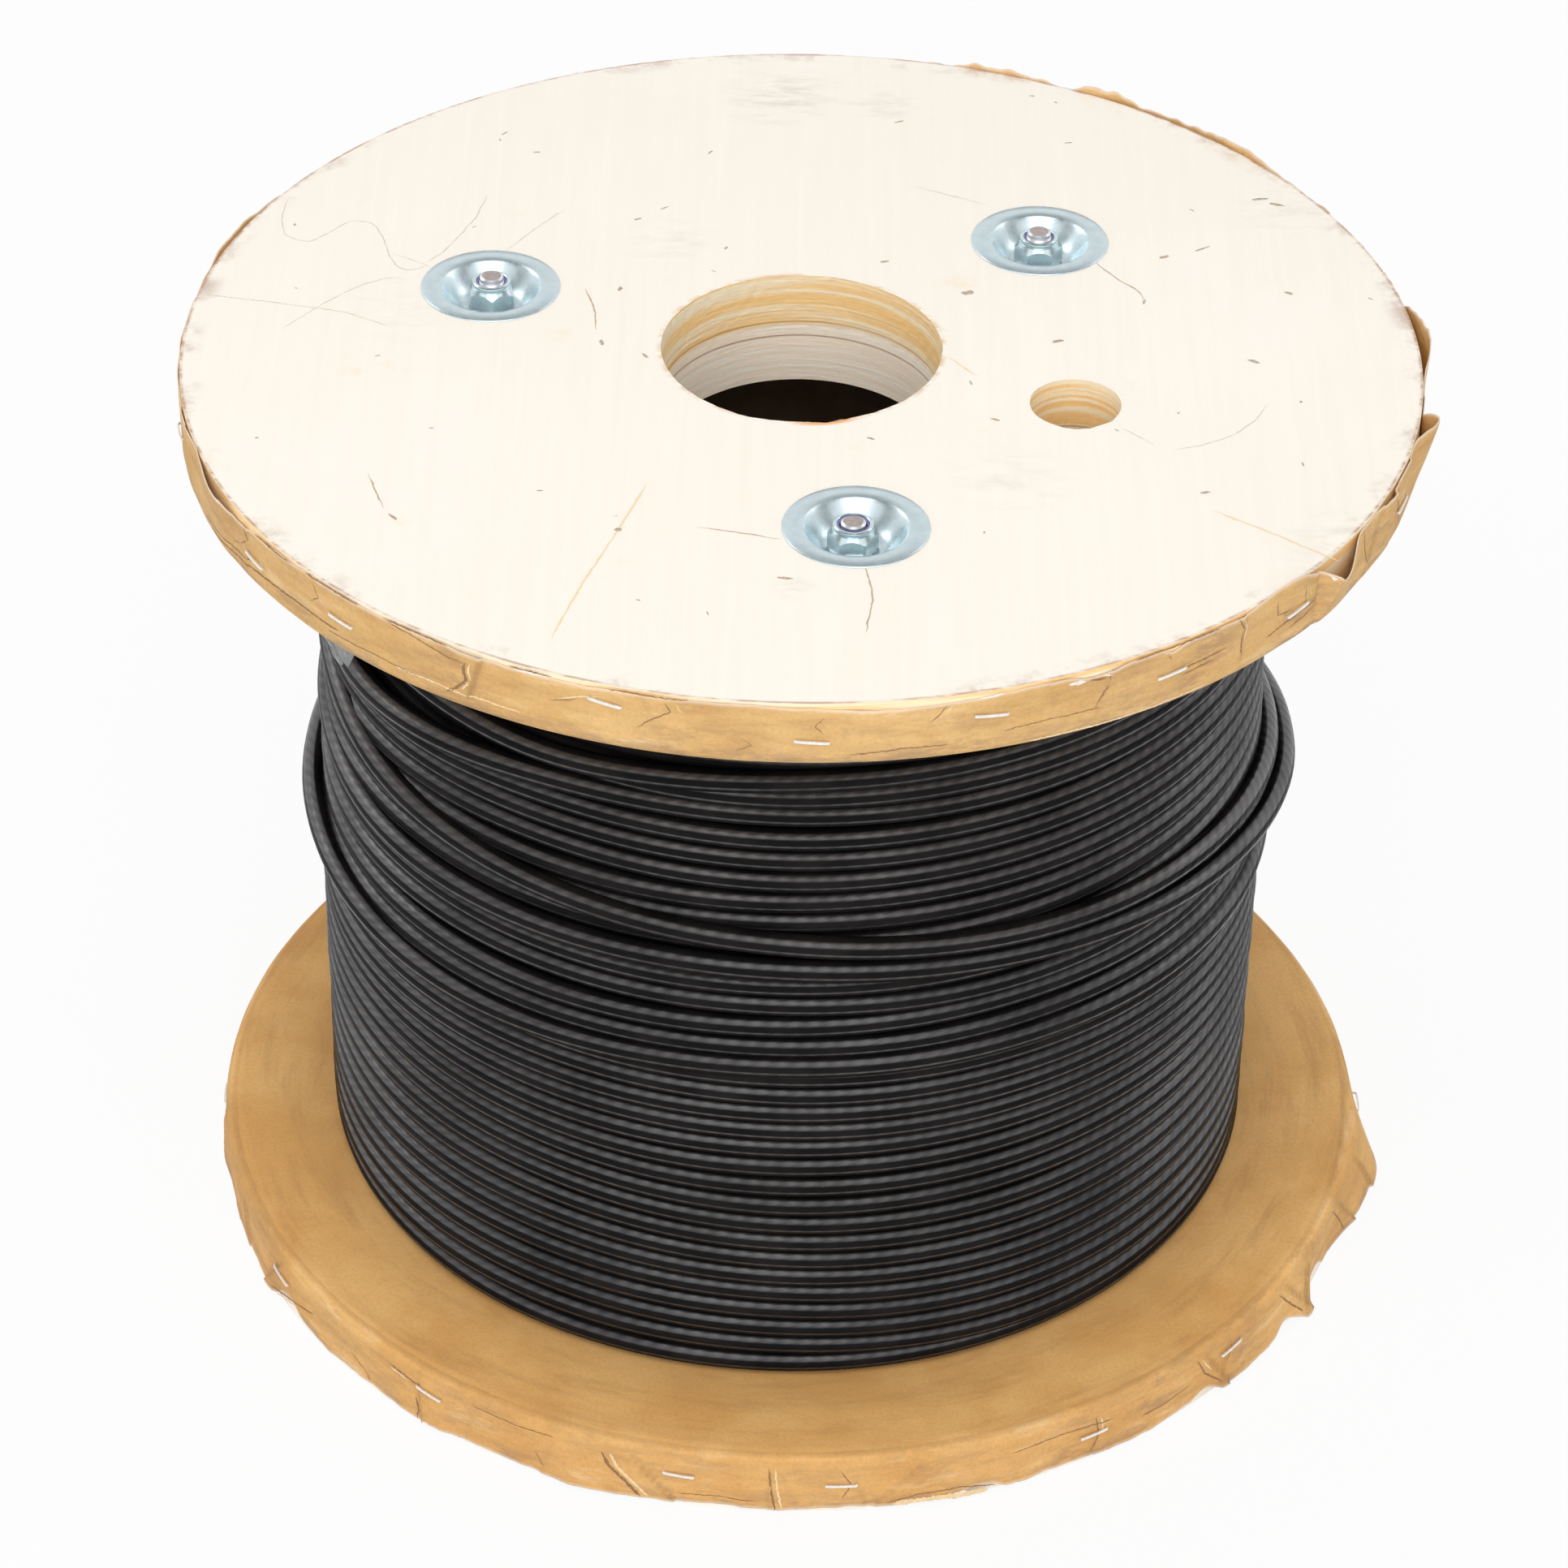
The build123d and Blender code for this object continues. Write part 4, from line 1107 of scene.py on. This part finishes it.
def copies(name, piece, places, finish):
    """One mesh of copies of a small piece; a place is a 4x4 matrix in millimetres."""
    cloud = bpy.data.meshes.new(name + "_places")
    cloud.from_pydata([(p.translation * MM)[:] for p in places], [], [])
    turn = cloud.attributes.new("turn", "FLOAT_VECTOR", "POINT")
    turn.data.foreach_set("vector", [a for p in places for a in p.to_euler()])
    holder = bpy.data.objects.new(name, cloud)
    scene.collection.objects.link(holder)

    tree = bpy.data.node_groups.new(name, "GeometryNodeTree")
    face = tree.interface
    face.new_socket("Geometry", in_out="INPUT", socket_type="NodeSocketGeometry")
    piece_socket = face.new_socket("Piece", in_out="INPUT", socket_type="NodeSocketObject")
    size_socket = face.new_socket("Size", in_out="INPUT", socket_type="NodeSocketFloat")
    face.new_socket("Geometry", in_out="OUTPUT", socket_type="NodeSocketGeometry")
    entry, leave = tree.nodes.new("NodeGroupInput"), tree.nodes.new("NodeGroupOutput")
    source = tree.nodes.new("GeometryNodeObjectInfo")
    named = tree.nodes.new("GeometryNodeInputNamedAttribute")
    named.data_type = "FLOAT_VECTOR"
    named.inputs["Name"].default_value = "turn"
    rotation = tree.nodes.new("FunctionNodeEulerToRotation")
    spread = tree.nodes.new("GeometryNodeInstanceOnPoints")
    real = tree.nodes.new("GeometryNodeRealizeInstances")
    coat = tree.nodes.new("GeometryNodeSetMaterial")
    coat.inputs["Material"].default_value = finish
    link = tree.links.new
    link(entry.outputs["Geometry"], spread.inputs["Points"])
    link(entry.outputs["Piece"], source.inputs["Object"])
    link(source.outputs["Geometry"], spread.inputs["Instance"])
    link(named.outputs["Attribute"], rotation.inputs[0])
    link(rotation.outputs[0], spread.inputs["Rotation"])
    link(entry.outputs["Size"], spread.inputs["Scale"])
    link(spread.outputs["Instances"], real.inputs["Geometry"])
    link(real.outputs["Geometry"], coat.inputs["Geometry"])
    link(coat.outputs["Geometry"], leave.inputs["Geometry"])

    setting = holder.modifiers.new("set in place", "NODES")
    setting.node_group = tree
    setting[piece_socket.identifier] = piece
    setting[size_socket.identifier] = 1.0
    settle(holder)
    bpy.data.objects.remove(piece)
    return holder


def on_rim(bearing, height, tilt, out):
    """A place on a rim, X along it, Z outwards."""
    turn = math.radians(bearing)
    outward = Vector((math.sin(turn), -math.cos(turn), 0))
    along = Vector((math.cos(turn), math.sin(turn), 0))
    up = Vector((0, 0, 1))
    lean = math.radians(tilt)
    x = along * math.cos(lean) + up * math.sin(lean)
    y = outward.cross(x)
    place = Matrix((x, y, outward)).transposed().to_4x4()
    place.translation = outward * out + up * height
    return place


def paper_at(bearing, height):
    """The paper's greatest radius under a staple."""
    edge = top_edge if height > 150 else bottom_edge
    return max(edge(bearing + side, height) for side in (-1.4, 0.0, 1.4))


staple_places = [on_rim(b, h, t, paper_at(b, h) + 0.12) for b, h, t in (
    (-43.2, 290.7, -3), (-16.2, 294.6, -8), (1.4, 287.8, -4), (16.7, 292.3, -5), (33.9, 290.7, 3),
    (48.6, 292.0, 5), (-56, 289.7, -6), (70, 289, 4), (-78, 291, 3), (105, 288, -4), (140, 290, 5),
    (182, 289, -3), (222, 291, 4), (251, 289, 2), (-58.9, 13.1, -10), (-35.9, 14.2, -7), (-9.8, 12.3, -3),
    (5.5, 10.8, -2), (30.8, 10.4, 2), (48.2, 14.8, 6), (90, 12, -3), (125, 11, 4), (160, 13, -4),
    (200, 11, 3), (240, 12, -3), (272, 13, 2))]
staples = copies("staples", staple(), staple_places, STAPLE_WIRE)
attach(staples, "root")


# ---- Floor, light and camera ----

def floor():
    """A pale floor that keeps the drum's shadow and runs out to white."""
    f = Finish("studio_floor")
    out = f.nodes["Material Output"]
    soft = f.add("BsdfDiffuse", {"Color": (0.92, 0.92, 0.92, 1)})
    white = f.add("Emission", {"Color": (1, 1, 1, 1), "Strength": 1.0})
    rays = f.add("LightPath").outputs
    seen = f.calc("MAXIMUM", f.calc("MAXIMUM", rays["Is Camera Ray"], rays["Is Glossy Ray"]),
                  rays["Is Transmission Ray"])
    blend = f.add("MixShader", {0: f.calc("MULTIPLY", seen, 0.90)})
    f.links.new(soft.outputs[0], blend.inputs[1])
    f.links.new(white.outputs[0], blend.inputs[2])
    f.links.new(blend.outputs[0], out.inputs["Surface"])
    f.nodes.remove(f.shader)
    mesh = bpy.data.meshes.new("floor")
    ring = [(9 * math.cos(a), 9 * math.sin(a), -0.0005) for a in np.arange(64) * math.pi / 32]
    mesh.from_pydata(ring, [], [tuple(range(64))])
    mesh.materials.append(f.material)
    plane = bpy.data.objects.new("floor", mesh)
    scene.collection.objects.link(plane)


def surroundings():
    """A studio of white walls in front and behind, with dimmer sides and ceiling."""
    world = bpy.data.worlds.new("white_studio")
    world.use_nodes = True
    nodes, links = world.node_tree.nodes, world.node_tree.links
    where = nodes.new("ShaderNodeTexCoord").outputs["Generated"]
    split = nodes.new("ShaderNodeSeparateXYZ")
    links.new(where, split.inputs[0])

    def rise(source, low, high, start, top):
        node = nodes.new("ShaderNodeMapRange")
        node.interpolation_type = "SMOOTHSTEP"
        for socket, value in (("From Min", low), ("From Max", high), ("To Min", start), ("To Max", top)):
            node.inputs[socket].default_value = value
        links.new(source, node.inputs["Value"])
        return node.outputs[0]

    def join(operation, a, b):
        node = nodes.new("ShaderNodeMath")
        node.operation = operation
        links.new(a, node.inputs[0])
        links.new(b, node.inputs[1])
        return node.outputs[0]

    front = rise(split.outputs["Y"], -0.15, -0.45, 0.0, 1.05)
    below_ceiling = rise(split.outputs["Z"], 0.86, 0.62, 0.56, 1.0)
    behind = rise(split.outputs["Y"], -0.30, 0.45, 0.35, 0.88)
    walls = join("MAXIMUM", front, behind)
    links.new(join("MULTIPLY", walls, below_ceiling), nodes["Background"].inputs["Strength"])
    nodes["Background"].inputs["Color"].default_value = (1, 1, 1, 1)
    scene.world = world


def softbox(name, bearing, elevation, distance, size, radiance, mirrored=True):
    """A square lamp that looks at the middle of the drum; an unmirrored one makes no highlight."""
    lamp = bpy.data.lights.new(name, "AREA")
    lamp.shape = "SQUARE"
    lamp.size = size
    lamp.energy = radiance * math.pi * size * size
    turn, rise = math.radians(bearing), math.radians(elevation)
    place = Vector((math.sin(turn) * math.cos(rise), -math.cos(turn) * math.cos(rise), math.sin(rise)))
    body = bpy.data.objects.new(name, lamp)
    body.location = Vector((0, 0, 0.15)) + place * distance
    body.rotation_euler = (-place).to_track_quat("-Z", "Y").to_euler()
    body.visible_glossy = mirrored
    scene.collection.objects.link(body)


def camera():
    """The photograph's view, from pan, tilt and roll about an aim at the top face."""
    place = Vector((0, -1.31413, 1.09540))
    ahead = (Vector((0, 0, FACE * MM)) - place).normalized()
    right = Vector((1, 0, 0))
    up = right.cross(ahead)
    pan, tilt, roll = 0.00202892, -0.0851272, -0.0165771
    for angle, axis in ((pan, "up"), (tilt, "right"), (roll, "ahead")):
        about = {"up": up, "right": right, "ahead": ahead}[axis]
        turn = Matrix.Rotation(angle, 3, about.copy())
        ahead, right, up = turn @ ahead, turn @ right, turn @ up
    focal_length, frame_side, sensor = 6313.085, 1932, 36.0
    view = bpy.data.cameras.new("camera")
    view.sensor_width = sensor
    view.sensor_height = sensor
    view.lens = focal_length / frame_side * sensor
    body = bpy.data.objects.new("camera", view)
    body.matrix_world = Matrix.Translation(place) @ Matrix((right, up, -ahead)).transposed().to_4x4()
    scene.collection.objects.link(body)
    scene.camera = body


floor()
surroundings()
# Name, bearing, elevation, distance, size and radiance.
softbox("key_softbox", 0, 58, 2.3, 1.7, 1.55)
softbox("left_softbox", -52, 46, 2.2, 0.85, 1.3, False)
softbox("right_softbox", 44, 48, 2.2, 0.85, 0.2, False)
softbox("left_rim_light", -118, 38, 2.2, 0.8, 2.0)
softbox("right_rim_light", 112, 36, 2.2, 0.8, 1.1)
softbox("front_fill", 0, 28, 2.6, 1.5, 1.4, False)
camera()
scene.view_settings.view_transform = "Standard"
